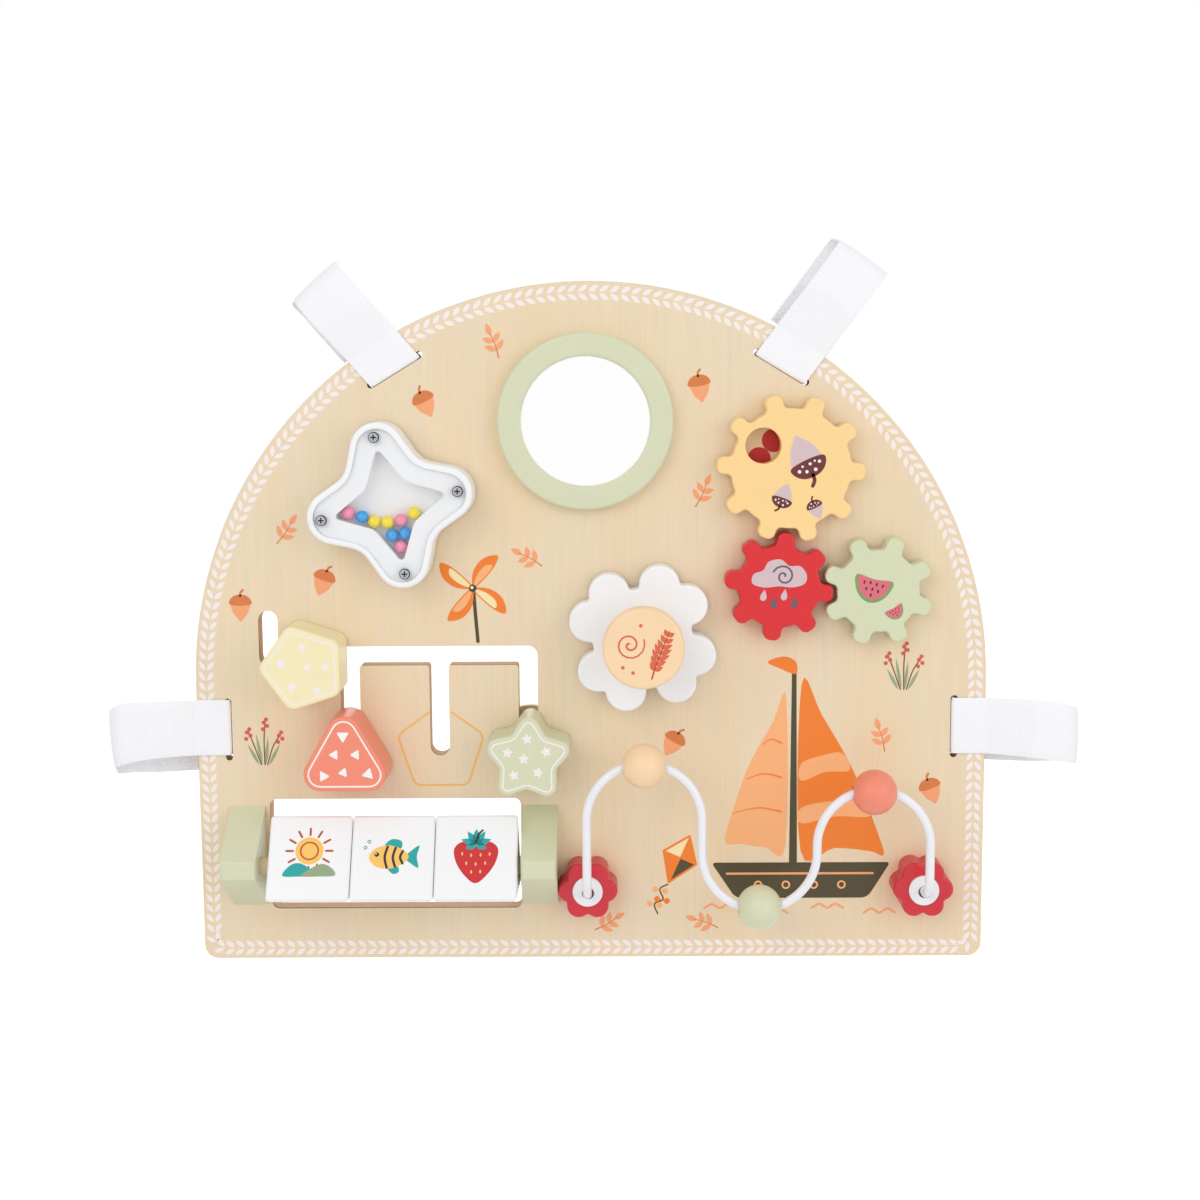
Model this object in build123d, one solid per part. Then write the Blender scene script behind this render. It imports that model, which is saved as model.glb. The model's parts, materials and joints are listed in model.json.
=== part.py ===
"""Wooden busy board: an arched play board with strap loops, a mirror, a bead shaker, three meshed
gears, a flower spinner, shapes on a slotted track, three turning picture blocks and a bead maze.

Everything is drawn lying down: X runs to the right, Y up the board and Z out of the front face,
which is at height 0. The export stands it upright: the board's height runs along +Z, the front
looks along -Y, and the origin is the middle of the bottom edge at half the board's thickness.
Lengths are in millimetres and angles in degrees.
"""

import os
from math import asin, atan2, cos, degrees, hypot, radians, sin, sqrt, tan

from build123d import *

# Board
board_width = 450
board_thickness = 12
side_height = 162
bottom_corner_radius = 8
board_edge_round = 1

# Clearances
running_clearance = 0.05
pivot_play = 0.2
soft_clearance = 0.3
drill_clearance = 0.05

# Straps of webbing, each through a slot near the edge
slot_inset = 18
slot_length = 36
slot_width = 4
side_slot_up = 135.3
top_slot_tilt = 31.3
webbing_width = 32
webbing_thickness = 1.6
strap_reaches = {"top_left": 66, "top_right": 76, "side_left": 67, "side_right": 70}
strap_front_bulge = 6
strap_back_bulge = 5
strap_overlap_start = 20
strap_overlap_end = 46
strap_tab_clear = 2
hook_patch_thickness = 1
hook_patch_length = 24
strap_bend_radius = 9
strap_slot_radius = 1.4

# Mirror
mirror_place = (-1.6, 309.6)
mirror_ring_diameter = 98.5
mirror_opening_diameter = 72
mirror_ring_height = 8
mirror_ring_round = 2
mirror_thickness = 2
mirror_lip = 3

# Pivot bolts and spacers shared by the shaker, the gears and the flower
pivot_diameter = 8
pivot_head_diameter = 15
pivot_head_height = 3
pivot_socket_width = 5
pivot_socket_depth = 2
spacer_diameter = 16
spacer_height = 1.8

# Star-shaped bead shaker
shaker_place = (-109.3, 264.7)
shaker_turn = 11.7
shaker_points = 4
shaker_tip_reach = 46.5
shaker_tip_radius = 15
shaker_notch_reach = 29.5
shaker_notch_radius = 15
shaker_height = 22
shaker_round = 2
shaker_pivot_depth = 7
cavity_tip_wall = 16
cavity_tip_radius = 2
cavity_notch_wall = 13.5
cavity_notch_radius = 10
cavity_depth = 12
window_inset = 3.5
window_thickness = 2
window_screw_inset = 8.1
window_screw_diameter = 2.5
window_screw_head_diameter = 6
window_screw_head_height = 1.8
window_screw_length = 10
shaker_bead_diameter = 7.2
shaker_bead_lift = 0.6
shaker_bead_places = {
    "pink": [(-23.6, -4.3), (5.3, -8.4), (5.2, -23.2)],
    "blue": [(-16.1, -6.5), (0.3, -16.9), (7.6, -15.7)],
    "yellow": [(-9.4, -9.2), (-2.1, -9.7), (12.6, -4.6)],
}

# Meshed gears: the red one drives, and the others' places and phases follow from the mesh
gear_height = 12
gear_round = 1.2
gear_pivot_depth = 8
tooth_width = 9.8
tooth_corner_radius = 4
tooth_root_radius = 3
red_place = (106.1, 217.4)
red_teeth = 8
red_tip_radius = 30.4
red_root_radius = 23
red_phase = -8.3
yellow_teeth = 10
yellow_tip_radius = 41.2
yellow_root_radius = 33.2
yellow_bearing = 84.6
yellow_mesh_gap = 1.9
green_teeth = 8
green_tip_radius = 31
green_root_radius = 23
green_bearing = -2.8
green_mesh_gap = 1.3
finger_hole_diameter = 20
finger_hole_reach = 20.1
finger_hole_angle = 140.4

# Flower spinner with a raised knob
flower_place = (29.8, 188.7)
flower_turn = 54.5
flower_petals = 4
flower_height = 13
flower_round = 1.5
lobe_radius = 11.4
lobe_reach = 42.7
lobe_spread = 17.8
petal_notch_radius = 2
flower_core_radius = 28
flower_pivot_depth = 6
stem_diameter = 16
stem_seat_depth = 5
knob_gap = 24
knob_diameter = 44.5
knob_height = 13
knob_round = 2

# Slotted track and the shapes that slide in it
track_width = 11
track_inner_radius = 1.8
track_up = 177.5
left_slot_x = -182.7
left_slot_top = 198.2
first_branch_x = -136.7
branch_pitch = 50.7
branch_count = 3
branch_end_up = 125.3
slider_gap = 1
slider_height = 29
slider_round = 1.5
bushing_diameter = 6
bushing_play = 0.05
bushing_seat_clearance = 0.3
slider_screw_diameter = 4
slider_screw_depth = 14
retainer_diameters = {"pentagon": 36, "triangle": 36, "star": 46}
retainer_height = 4
retainer_screw_head_diameter = 8
retainer_screw_head_height = 2.4
pentagon_x = -158.5
pentagon_turn = 180
pentagon_reach = 25.4
pentagon_corner_radius = 6
triangle_half_base = 13.6
triangle_rise = 23.5
triangle_corner_radius = 9.5
star_lean = 0.8
star_turn = 88
star_tip_reach = 24
star_tip_radius = 5.8
star_notch_reach = 16.6
star_notch_radius = 4

# Turning picture blocks in their window
drum_window_right = -40.3
drum_window_radius = 4
drum_gap_above = 10
drum_gap_below = 6.6
drum_axis_up = 60.5
drum_axis_height = 18.5
drum_block_side = 52.6
drum_block_round = 2
drum_block_width = 46.4
drum_block_gap = 0.3
drum_right_gap = 0.6
drum_left_gap = 3.9
drum_tilt = 32
axle_diameter = 10
axle_seat_depth = 12
bracket_up = 61.5
bracket_width = 20
bracket_length = 58.5
bracket_front_length = 10
bracket_height = 35
bracket_round = 2
bracket_right_gap = 1.2
bracket_left_gap = 2.6
bracket_screw_spread = 36
bracket_screw_diameter = 3.5
bracket_screw_length = 24
bracket_screw_head_diameter = 7
bracket_screw_head_height = 2.2

# Bead maze: a wire in one plane between two flower-shaped bases
wire_diameter = 5
wire_height = 37
wire_bend_radius = 14
wire_seat_depth = 9
maze_base_up = 44.6
maze_left_x = -2
first_hump_radius = 32
first_hump_up = 90.3
valley_radius = 31.9
valley_up = 71.5
second_hump_radius = 31.3
second_hump_up = 75.7
base_petals = 6
base_petal_radius = 6.6
base_petal_reach = 17
base_core_radius = 10
base_petal_notch_radius = 2
base_height = 18
base_round = 1.5
maze_washer_diameter = 17
maze_washer_height = 1.5
bead_diameter = 25
bead_bore_diameter = 8
base_screw_diameter = 3.5
base_screw_length = 19
base_screw_head_diameter = 7
base_screw_head_height = 2.2

parts = {}


# Shared shapes

def polar(reach, angle):
    """The point at a reach and angle from the origin."""
    return reach * cos(radians(angle)), reach * sin(radians(angle))


def layer(outline, low, high):
    """An outline raised from one height to another."""
    return Pos(0, 0, low) * extrude(outline, high - low)


def rod(place, diameter, low, high):
    """An upright cylinder between two heights."""
    return layer(Pos(*place) * Circle(diameter / 2), low, high)


def face_edges(solid, height):
    """The edges that lie flat at one height."""
    return solid.edges().filter_by_position(Axis.Z, height, height)


def rounded_path(points, radii):
    """A wire through the points, straight but for an arc of each radius at its corner."""
    route = [Vector(*point) for point in points]
    edges = []
    position = route[0]
    for before, corner, after, radius in zip(route, route[1:], route[2:], radii):
        back = (before - corner).normalized()
        on = (after - corner).normalized()
        half = radians(back.get_angle(on) / 2)
        inward = (back + on).normalized()
        start = corner + back * (radius / tan(half))
        end = corner + on * (radius / tan(half))
        middle = corner + inward * (radius / sin(half) - radius)
        edges.append(Edge.make_line(position, start))
        edges.append(Edge.make_three_point_arc(start, middle, end))
        position = end
    edges.append(Edge.make_line(position, route[-1]))
    return Wire(edges)


def star_outline(points, tip_reach, tip_radius, notch_reach, notch_radius):
    """A star with round tips and notches, one tip along +X."""
    notch = Vector(*polar(notch_reach, 180 / points))
    tip_centre = tip_reach - tip_radius
    across = hypot(tip_centre - notch.X, notch.Y)
    flank = degrees(atan2(notch.Y, tip_centre - notch.X) - asin(tip_radius / across))
    apex = notch.X + notch.Y / tan(radians(flank))
    corners = []
    for index in range(points):
        turn = index * 360 / points
        corners.append(polar(apex, turn))
        corners.append(polar(notch_reach, turn + 180 / points))
    star = make_face(Polyline(*corners, close=True))
    tips = [v for v in star.vertices() if hypot(v.X, v.Y) > notch_reach + 1]
    star = fillet(tips, tip_radius)
    notches = [v for v in star.vertices() if abs(hypot(v.X, v.Y) - notch_reach) < 0.01]
    return fillet(notches, notch_radius)


def gear_outline(teeth, tip_radius, root_radius):
    """A peg-toothed gear with one tooth along +X."""
    tooth = fillet(Rectangle(2 * tip_radius, tooth_width).vertices(), tooth_corner_radius)
    gear = Circle(root_radius)
    for index in range(teeth):
        half = Pos(tip_radius / 2, 0) * Rectangle(tip_radius, 2 * tooth_width)
        gear += Rot(0, 0, index * 360 / teeth) * (tooth & half)
    roots = [v for v in gear.vertices() if abs(hypot(v.X, v.Y) - root_radius) < 0.01]
    return fillet(roots, tooth_root_radius)


def pan_screw(place, diameter, length, head_diameter, head_height, seat, outward):
    """A pan-head screw: its head sits on the seat, its shank runs the other way."""
    head_end = seat + outward * head_height
    shank_end = seat - outward * length
    head = rod(place, head_diameter, min(seat, head_end), max(seat, head_end))
    outer = face_edges(head, head_end)
    head = fillet(outer, head_height * 0.45)
    slot_depth = head_height * 0.5
    cross = Pos(*place) * (Rectangle(head_diameter * 0.55, head_height * 0.4)
                           + Rectangle(head_height * 0.4, head_diameter * 0.55))
    bottom = head_end - outward * slot_depth
    head -= layer(cross, min(bottom, head_end), max(bottom, head_end))
    return head + rod(place, diameter, min(seat, shank_end), max(seat, shank_end))


# Heights that several pieces share
toy_back = pivot_play + spacer_height
board_back = -board_thickness
gear_front = toy_back + gear_height
drum_blocks = ("right", "middle", "left")
drum_reach = drum_block_side / sqrt(3)
drum_window_left = (drum_window_right - drum_right_gap - drum_left_gap
                    - len(drum_blocks) * drum_block_width
                    - (len(drum_blocks) - 1) * drum_block_gap)
drum_sweep = sqrt(drum_reach ** 2 - drum_axis_height ** 2)
drum_window_bottom = drum_axis_up - drum_sweep - drum_gap_below
drum_window_top = drum_axis_up + drum_sweep + drum_gap_above


# Board

def board_outline():
    height = side_height + board_width / 2
    outline = Pos(0, side_height) * Circle(board_width / 2)
    outline += Pos(0, side_height / 2) * Rectangle(board_width, side_height)
    outline &= Pos(0, height / 2) * Rectangle(board_width, height)
    return fillet(outline.vertices().group_by(Axis.Y)[0], bottom_corner_radius)


def strap_frames():
    """Each strap's slot centre and the angle at which it leaves the board."""
    reach = board_width / 2 - slot_inset
    frames = {}
    for name, angle in (("top_left", 90 + top_slot_tilt), ("top_right", 90 - top_slot_tilt)):
        x, y = polar(reach, angle)
        frames[name] = ((x, y + side_height), angle)
    frames["side_left"] = ((-reach, side_slot_up), 180)
    frames["side_right"] = ((reach, side_slot_up), 0)
    return frames


def track_outline():
    """The horizontal track, its branches down and the short slot up at its left end."""
    def run(start, end):
        middle = ((start[0] + end[0]) / 2, (start[1] + end[1]) / 2)
        length = hypot(end[0] - start[0], end[1] - start[1])
        turn = degrees(atan2(end[1] - start[1], end[0] - start[0]))
        return Pos(*middle) * Rot(0, 0, turn) * SlotCenterToCenter(length, track_width)

    last_x = branch_x(branch_count - 1)
    track = run((left_slot_x, track_up), (last_x, track_up))
    track += run((left_slot_x, track_up), (left_slot_x, left_slot_top))
    for index in range(branch_count):
        track += run((branch_x(index), track_up), (branch_x(index), branch_end_up))
    half = track_width / 2
    inner = [(left_slot_x + half, track_up + half)]
    for index in range(branch_count):
        inner.append((branch_x(index) - half, track_up - half))
        if index < branch_count - 1:
            inner.append((branch_x(index) + half, track_up - half))
    corners = [
        v for v in track.vertices()
        if any(hypot(v.X - x, v.Y - y) < 0.01 for x, y in inner)
    ]
    return fillet(corners, track_inner_radius)


def branch_x(index):
    return first_branch_x + index * branch_pitch


def drum_window_outline():
    width = drum_window_right - drum_window_left
    height = drum_window_top - drum_window_bottom
    middle = (drum_window_left + width / 2, drum_window_bottom + height / 2)
    return Pos(*middle) * RectangleRounded(width, height, drum_window_radius)


def make_board():
    board = layer(board_outline(), board_back, 0)
    rims = face_edges(board, 0) + face_edges(board, board_back)
    board = fillet(rims, board_edge_round)
    cuts = track_outline() + drum_window_outline()
    for place, angle in strap_frames().values():
        cuts += Pos(*place) * Rot(0, 0, angle + 90) * SlotOverall(slot_length, slot_width)
    for place in (shaker_place, flower_place, *gear_places().values()):
        cuts += Pos(*place) * Circle(pivot_diameter / 2 + running_clearance)
    for place in bracket_screw_places():
        cuts += Pos(*place) * Circle(bracket_screw_diameter / 2 + drill_clearance)
    for place in maze_base_places():
        cuts += Pos(*place) * Circle(base_screw_diameter / 2 + drill_clearance)
    parts["base_board"] = board - layer(cuts, board_back, 0)


def make_straps():
    """Webbing loops: through the slot, out over the front, round and back behind the board."""
    half = webbing_thickness / 2
    front = half + soft_clearance
    back = board_back - half - soft_clearance
    layer_step = webbing_thickness + hook_patch_thickness
    patches = None
    for name, (place, angle) in strap_frames().items():
        reach = strap_reaches[name]
        outer = back - layer_step - strap_back_bulge
        route = [
            (strap_overlap_end, back), (0, back), (0, front), (slot_inset, front),
            ((slot_inset + reach) / 2, front + strap_front_bulge), (reach, strap_front_bulge),
            (reach, outer), (strap_overlap_end + strap_tab_clear, back - layer_step),
            (strap_overlap_start, back - layer_step),
        ]
        radii = [strap_slot_radius] * 2 + [strap_bend_radius] * (len(route) - 4)
        path = rounded_path(route, radii)
        start = Plane(origin=(*route[0], 0), x_dir=(0, 0, 1), z_dir=(-1, 0, 0))
        band = sweep(start * Rectangle(webbing_width, webbing_thickness), path=path)
        upright = Plane(origin=(*place, 0), x_dir=(*polar(1, angle), 0),
                        z_dir=(*polar(1, angle - 90), 0))
        parts["strap_" + name] = upright.location * band
        patch_middle = (strap_overlap_start + strap_overlap_end) / 2
        patch = Pos(patch_middle, back - layer_step / 2, 0) * Box(
            hook_patch_length, hook_patch_thickness, webbing_width)
        patch = upright.location * patch
        patches = patch if patches is None else patches + patch
    parts["strap_hook_patches"] = patches


# Mirror

def make_mirror():
    opening = mirror_opening_diameter / 2
    seat = opening + mirror_lip
    ring = rod(mirror_place, mirror_ring_diameter, 0, mirror_ring_height)
    ring -= rod(mirror_place, mirror_opening_diameter, 0, mirror_ring_height)
    ring = fillet(face_edges(ring, mirror_ring_height), mirror_ring_round)
    ring -= rod(mirror_place, 2 * seat, 0, mirror_thickness)
    parts["mirror_ring"] = ring
    disc_diameter = 2 * (seat - drill_clearance)
    parts["mirror_disc"] = rod(mirror_place, disc_diameter, 0, mirror_thickness)


# Pivots

def add_pivot(name, place, depth):
    """The bolt that a turning toy hangs on, and the spacer between the toy and the board."""
    head_top = board_back - pivot_play
    bolt = rod(place, pivot_diameter, head_top, toy_back + depth)
    head = rod(place, pivot_head_diameter, head_top - pivot_head_height, head_top)
    head = chamfer(face_edges(head, head_top - pivot_head_height), pivot_head_height / 4)
    socket = Pos(*place) * RegularPolygon(pivot_socket_width / 2, 6, major_radius=False)
    low = head_top - pivot_head_height
    parts[name + "_pivot_bolt"] = bolt + head - layer(socket, low, low + pivot_socket_depth)
    spacer = rod(place, spacer_diameter, pivot_play, toy_back)
    parts[name + "_spacer"] = spacer - rod(
        place, pivot_diameter + 2 * drill_clearance, pivot_play, toy_back)


def pivot_hole(place, depth):
    return rod(place, pivot_diameter + 2 * drill_clearance, toy_back, toy_back + depth)


# Bead shaker

def make_shaker():
    front = toy_back + shaker_height
    window_back = front - window_thickness
    floor = front - cavity_depth
    turned = Pos(*shaker_place) * Rot(0, 0, shaker_turn)
    outline = turned * star_outline(
        shaker_points, shaker_tip_reach, shaker_tip_radius, shaker_notch_reach,
        shaker_notch_radius)
    cavity = turned * star_outline(
        shaker_points, shaker_tip_reach - cavity_tip_wall, cavity_tip_radius,
        shaker_notch_reach - cavity_notch_wall, cavity_notch_radius)

    def pane(inset):
        return turned * star_outline(
            shaker_points, shaker_tip_reach - inset, shaker_tip_radius - inset,
            shaker_notch_reach - inset, shaker_notch_radius + inset)

    body = layer(outline, toy_back, front)
    body = fillet(face_edges(body, front), shaker_round)
    body -= layer(pane(window_inset), window_back, front)
    body -= layer(cavity, floor, window_back)
    body -= pivot_hole(shaker_place, shaker_pivot_depth)
    window = layer(pane(window_inset + drill_clearance), window_back, front)
    screws = None
    hole = window_screw_diameter + 2 * drill_clearance
    for index in range(shaker_points):
        x, y = polar(shaker_tip_reach - window_screw_inset,
                     shaker_turn + index * 360 / shaker_points)
        place = (shaker_place[0] + x, shaker_place[1] + y)
        body -= rod(place, hole, front - window_screw_length - drill_clearance, front)
        window -= rod(place, hole, window_back, front)
        screw = pan_screw(place, window_screw_diameter, window_screw_length,
                          window_screw_head_diameter, window_screw_head_height, front, 1)
        screws = screw if screws is None else screws + screw
    parts["star_body"] = body
    parts["star_window"] = window
    parts["star_window_screws"] = screws
    bead_up = floor + shaker_bead_diameter / 2 + shaker_bead_lift
    for colour, places in shaker_bead_places.items():
        beads = None
        for x, y in places:
            bead = Pos(shaker_place[0] + x, shaker_place[1] + y, bead_up) * Sphere(
                shaker_bead_diameter / 2)
            beads = bead if beads is None else beads + bead
        parts["shaker_beads_" + colour] = beads
    add_pivot("star", shaker_place, shaker_pivot_depth)


# Gears

def meshed_place(bearing, tip_radius, root_radius, gap):
    """The centre of a gear that meshes with the red one, with a gap over the longer teeth."""
    reach = max(red_tip_radius + root_radius, red_root_radius + tip_radius) + gap
    x, y = polar(reach, bearing)
    return red_place[0] + x, red_place[1] + y


def gear_places():
    return {
        "yellow": meshed_place(
            yellow_bearing, yellow_tip_radius, yellow_root_radius, yellow_mesh_gap),
        "red": red_place,
        "green": meshed_place(
            green_bearing, green_tip_radius, green_root_radius, green_mesh_gap),
    }


def meshed_phase(bearing, teeth):
    """The phase that sets a gear's gap against the red gear's nearest tooth."""
    step = 360 / red_teeth
    lead = (red_phase - bearing + step / 2) % step - step / 2
    gap = bearing + 180 - lead * red_teeth / teeth
    return gap + 180 / teeth


def gear_phases():
    return {
        "yellow": meshed_phase(yellow_bearing, yellow_teeth),
        "red": red_phase,
        "green": meshed_phase(green_bearing, green_teeth),
    }


def make_gear(colour, teeth, tip_radius, root_radius):
    place = gear_places()[colour]
    outline = Rot(0, 0, gear_phases()[colour]) * gear_outline(teeth, tip_radius, root_radius)
    gear = layer(Pos(*place) * outline, toy_back, gear_front)
    gear = fillet(face_edges(gear, gear_front), gear_round)
    gear -= pivot_hole(place, gear_pivot_depth)
    if colour == "yellow":
        x, y = polar(finger_hole_reach, finger_hole_angle)
        gear -= rod((place[0] + x, place[1] + y), finger_hole_diameter, toy_back, gear_front)
    parts["gear_" + colour] = gear
    add_pivot("gear_" + colour, place, gear_pivot_depth)


# Flower spinner

def petal_outline():
    """One heart-shaped petal along +X, of two lobes."""
    lobe = Pos(lobe_reach - lobe_radius, 0) * Circle(lobe_radius)
    return Rot(0, 0, -lobe_spread) * lobe + Rot(0, 0, lobe_spread) * lobe


def flower_outline():
    flower = Circle(flower_core_radius)
    for index in range(flower_petals):
        flower += Rot(0, 0, index * 360 / flower_petals) * petal_outline()
    return fillet(flower.vertices(), petal_notch_radius)


def make_flower():
    front = toy_back + flower_height
    knob_back = front + knob_gap
    knob_front = knob_back + knob_height
    outline = Pos(*flower_place) * Rot(0, 0, flower_turn) * flower_outline()
    petals = layer(outline, toy_back, front)
    petals = fillet(face_edges(petals, front), flower_round)
    petals -= pivot_hole(flower_place, flower_pivot_depth)
    seat = stem_diameter + 2 * drill_clearance
    petals -= rod(flower_place, seat, front - stem_seat_depth, front)
    knob = rod(flower_place, knob_diameter, knob_back, knob_front)
    rims = face_edges(knob, knob_back) + face_edges(knob, knob_front)
    knob = fillet(rims, knob_round)
    knob -= rod(flower_place, seat, knob_back, knob_back + stem_seat_depth)
    parts["flower_petals"] = petals
    parts["flower_stem"] = rod(
        flower_place, stem_diameter, front - stem_seat_depth, knob_back + stem_seat_depth)
    parts["flower_knob"] = knob
    add_pivot("flower", flower_place, flower_pivot_depth)


# Shapes on the track

def bushing_drop():
    """How far below the track's middle a bushing lies when it rests on the lower edge."""
    return track_width / 2 - bushing_diameter / 2 - bushing_seat_clearance


def slider_places():
    home = branch_end_up - bushing_drop()
    return {
        "pentagon": (pentagon_x, track_up - bushing_drop()),
        "triangle": (branch_x(0), home),
        "star": (branch_x(branch_count - 1) + star_lean, home),
    }


def slider_outlines():
    pentagon = RegularPolygon(pentagon_reach, 5, rotation=pentagon_turn)
    pentagon = fillet(pentagon.vertices(), pentagon_corner_radius)
    low = -triangle_rise / 3
    corners = [(-triangle_half_base, low), (triangle_half_base, low), (0, low + triangle_rise)]
    triangle = offset(make_face(Polyline(*corners, close=True)), triangle_corner_radius)
    star = Rot(0, 0, star_turn) * star_outline(
        5, star_tip_reach, star_tip_radius, star_notch_reach, star_notch_radius)
    return {"pentagon": pentagon, "triangle": triangle, "star": star}


def make_slider(name):
    place = slider_places()[name]
    back = slider_gap
    front = back + slider_height
    bore = slider_screw_diameter + 2 * drill_clearance
    block = layer(Pos(*place) * slider_outlines()[name], back, front)
    block = fillet(face_edges(block, front), slider_round)
    block -= rod(place, bore, back, back + slider_screw_depth)
    retainer_front = board_back - slider_gap
    retainer_back = retainer_front - retainer_height
    bushing = rod(place, bushing_diameter, retainer_front + bushing_play, back - bushing_play)
    bushing -= rod(place, slider_screw_diameter + 2 * running_clearance,
                   retainer_front + bushing_play, back - bushing_play)
    retainer = rod(place, retainer_diameters[name], retainer_back, retainer_front)
    retainer -= rod(place, bore, retainer_back, retainer_front)
    length = back + slider_screw_depth - retainer_back - drill_clearance
    parts[name + "_slider_block"] = block
    parts[name + "_slider_bushing"] = bushing
    parts[name + "_slider_retainer"] = retainer
    parts[name + "_slider_screw"] = pan_screw(
        place, slider_screw_diameter, length, retainer_screw_head_diameter,
        retainer_screw_head_height, retainer_back, -1)


# Picture blocks

def bracket_spans():
    """Each bracket's left and right sides, outside the window."""
    return {
        "left": (drum_window_left - bracket_left_gap - bracket_width,
                 drum_window_left - bracket_left_gap),
        "right": (drum_window_right + bracket_right_gap,
                  drum_window_right + bracket_right_gap + bracket_width),
    }


def bracket_screw_places():
    places = []
    for left, right in bracket_spans().values():
        for side in (-1, 1):
            places.append(((left + right) / 2, bracket_up + side * bracket_screw_spread / 2))
    return places


def bar_along_x(outline, left, right):
    """An outline drawn with height to the right and Y up, run along X."""
    section = Plane(origin=(left, 0, 0), x_dir=(0, 0, 1), z_dir=(-1, 0, 0))
    return Pos(right - left, 0, 0) * extrude(section * outline, right - left)


def make_drum():
    axis = Pos(drum_axis_height, drum_axis_up)
    screws = None
    for name, (left, right) in bracket_spans().items():
        low = bracket_up - bracket_length / 2
        inset = (bracket_length - bracket_front_length) / 2
        profile = make_face(Polyline(
            (0, low), (0, low + bracket_length), (bracket_height, low + bracket_length - inset),
            (bracket_height, low + inset), close=True))
        bracket = bar_along_x(profile, left, right)
        bracket = fillet(face_edges(bracket, bracket_height), bracket_round)
        seat = Circle(axle_diameter / 2 + drill_clearance)
        inner = right - axle_seat_depth if name == "left" else left
        bracket -= bar_along_x(axis * seat, inner, inner + axle_seat_depth)
        for place in bracket_screw_places():
            if left < place[0] < right:
                depth = bracket_screw_length - board_thickness + drill_clearance
                hole = bracket_screw_diameter + 2 * drill_clearance
                bracket -= rod(place, hole, 0, depth)
                screw = pan_screw(
                    place, bracket_screw_diameter, bracket_screw_length,
                    bracket_screw_head_diameter, bracket_screw_head_height, board_back, -1)
                screws = screw if screws is None else screws + screw
        parts["drum_bracket_" + name] = bracket
    parts["drum_bracket_screws"] = screws
    spans = bracket_spans()
    parts["drum_axle"] = bar_along_x(
        axis * Circle(axle_diameter / 2), spans["left"][1] - axle_seat_depth + drill_clearance,
        spans["right"][0] + axle_seat_depth - drill_clearance)
    prism = RegularPolygon(drum_reach, 3, rotation=180 + drum_tilt)
    bore = Circle(axle_diameter / 2 + running_clearance)
    right = drum_window_right - drum_right_gap
    for name in drum_blocks:
        left = right - drum_block_width
        block = bar_along_x(axis * prism, left, right)
        block = fillet(block.edges(), drum_block_round)
        parts["drum_block_" + name] = block - bar_along_x(axis * bore, left, right)
        right = left - drum_block_gap


# Bead maze

def maze_stations():
    """The X of each upright stretch of the wire, from left to right."""
    first = maze_left_x + 2 * first_hump_radius
    second = first + 2 * valley_radius
    return maze_left_x, first, second, second + 2 * second_hump_radius


def maze_base_places():
    stations = maze_stations()
    return [(stations[0], maze_base_up), (stations[3], maze_base_up)]


def maze_wire_start():
    return base_height - wire_seat_depth + drill_clearance


def maze_path():
    left, first, second, right = maze_stations()
    start = maze_wire_start()
    bend_up = maze_base_up + wire_bend_radius
    bend_low = wire_height - wire_bend_radius
    near = wire_bend_radius * (1 - sqrt(0.5))

    def arch(x1, x2, up, radius, sense):
        return ThreePointArc((x1, up, wire_height), ((x1 + x2) / 2, up + sense * radius, wire_height),
                             (x2, up, wire_height))

    def bend(x, low_first):
        base = (x, maze_base_up, bend_low)
        middle = (x, maze_base_up + near, wire_height - near)
        top = (x, bend_up, wire_height)
        return ThreePointArc(base, middle, top) if low_first else ThreePointArc(top, middle, base)

    return Wire([
        Line((left, maze_base_up, start), (left, maze_base_up, bend_low)).edge(),
        bend(left, True).edge(),
        Line((left, bend_up, wire_height), (left, first_hump_up, wire_height)).edge(),
        arch(left, first, first_hump_up, first_hump_radius, 1).edge(),
        Line((first, first_hump_up, wire_height), (first, valley_up, wire_height)).edge(),
        arch(first, second, valley_up, valley_radius, -1).edge(),
        Line((second, valley_up, wire_height), (second, second_hump_up, wire_height)).edge(),
        arch(second, right, second_hump_up, second_hump_radius, 1).edge(),
        Line((right, second_hump_up, wire_height), (right, bend_up, wire_height)).edge(),
        bend(right, False).edge(),
        Line((right, maze_base_up, bend_low), (right, maze_base_up, start)).edge(),
    ])


def base_outline():
    base = Circle(base_core_radius)
    for index in range(base_petals):
        base += Rot(0, 0, index * 360 / base_petals) * Pos(
            base_petal_reach - base_petal_radius, 0) * Circle(base_petal_radius)
    return fillet(base.vertices(), base_petal_notch_radius)


def maze_bead(x, up, radius, sense):
    """A bead on an arch of the wire, moved towards the arch's centre so that the bore clears it."""
    bore_half = sqrt((bead_diameter / 2) ** 2 - (bead_bore_diameter / 2) ** 2)
    shift = (radius - sqrt(radius ** 2 - bore_half ** 2)) / 2
    bead = Sphere(bead_diameter / 2)
    bead -= Rot(0, 90, 0) * Cylinder(bead_bore_diameter / 2, bead_diameter)
    return Pos(x, up + sense * (radius - shift), wire_height) * bead


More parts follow.
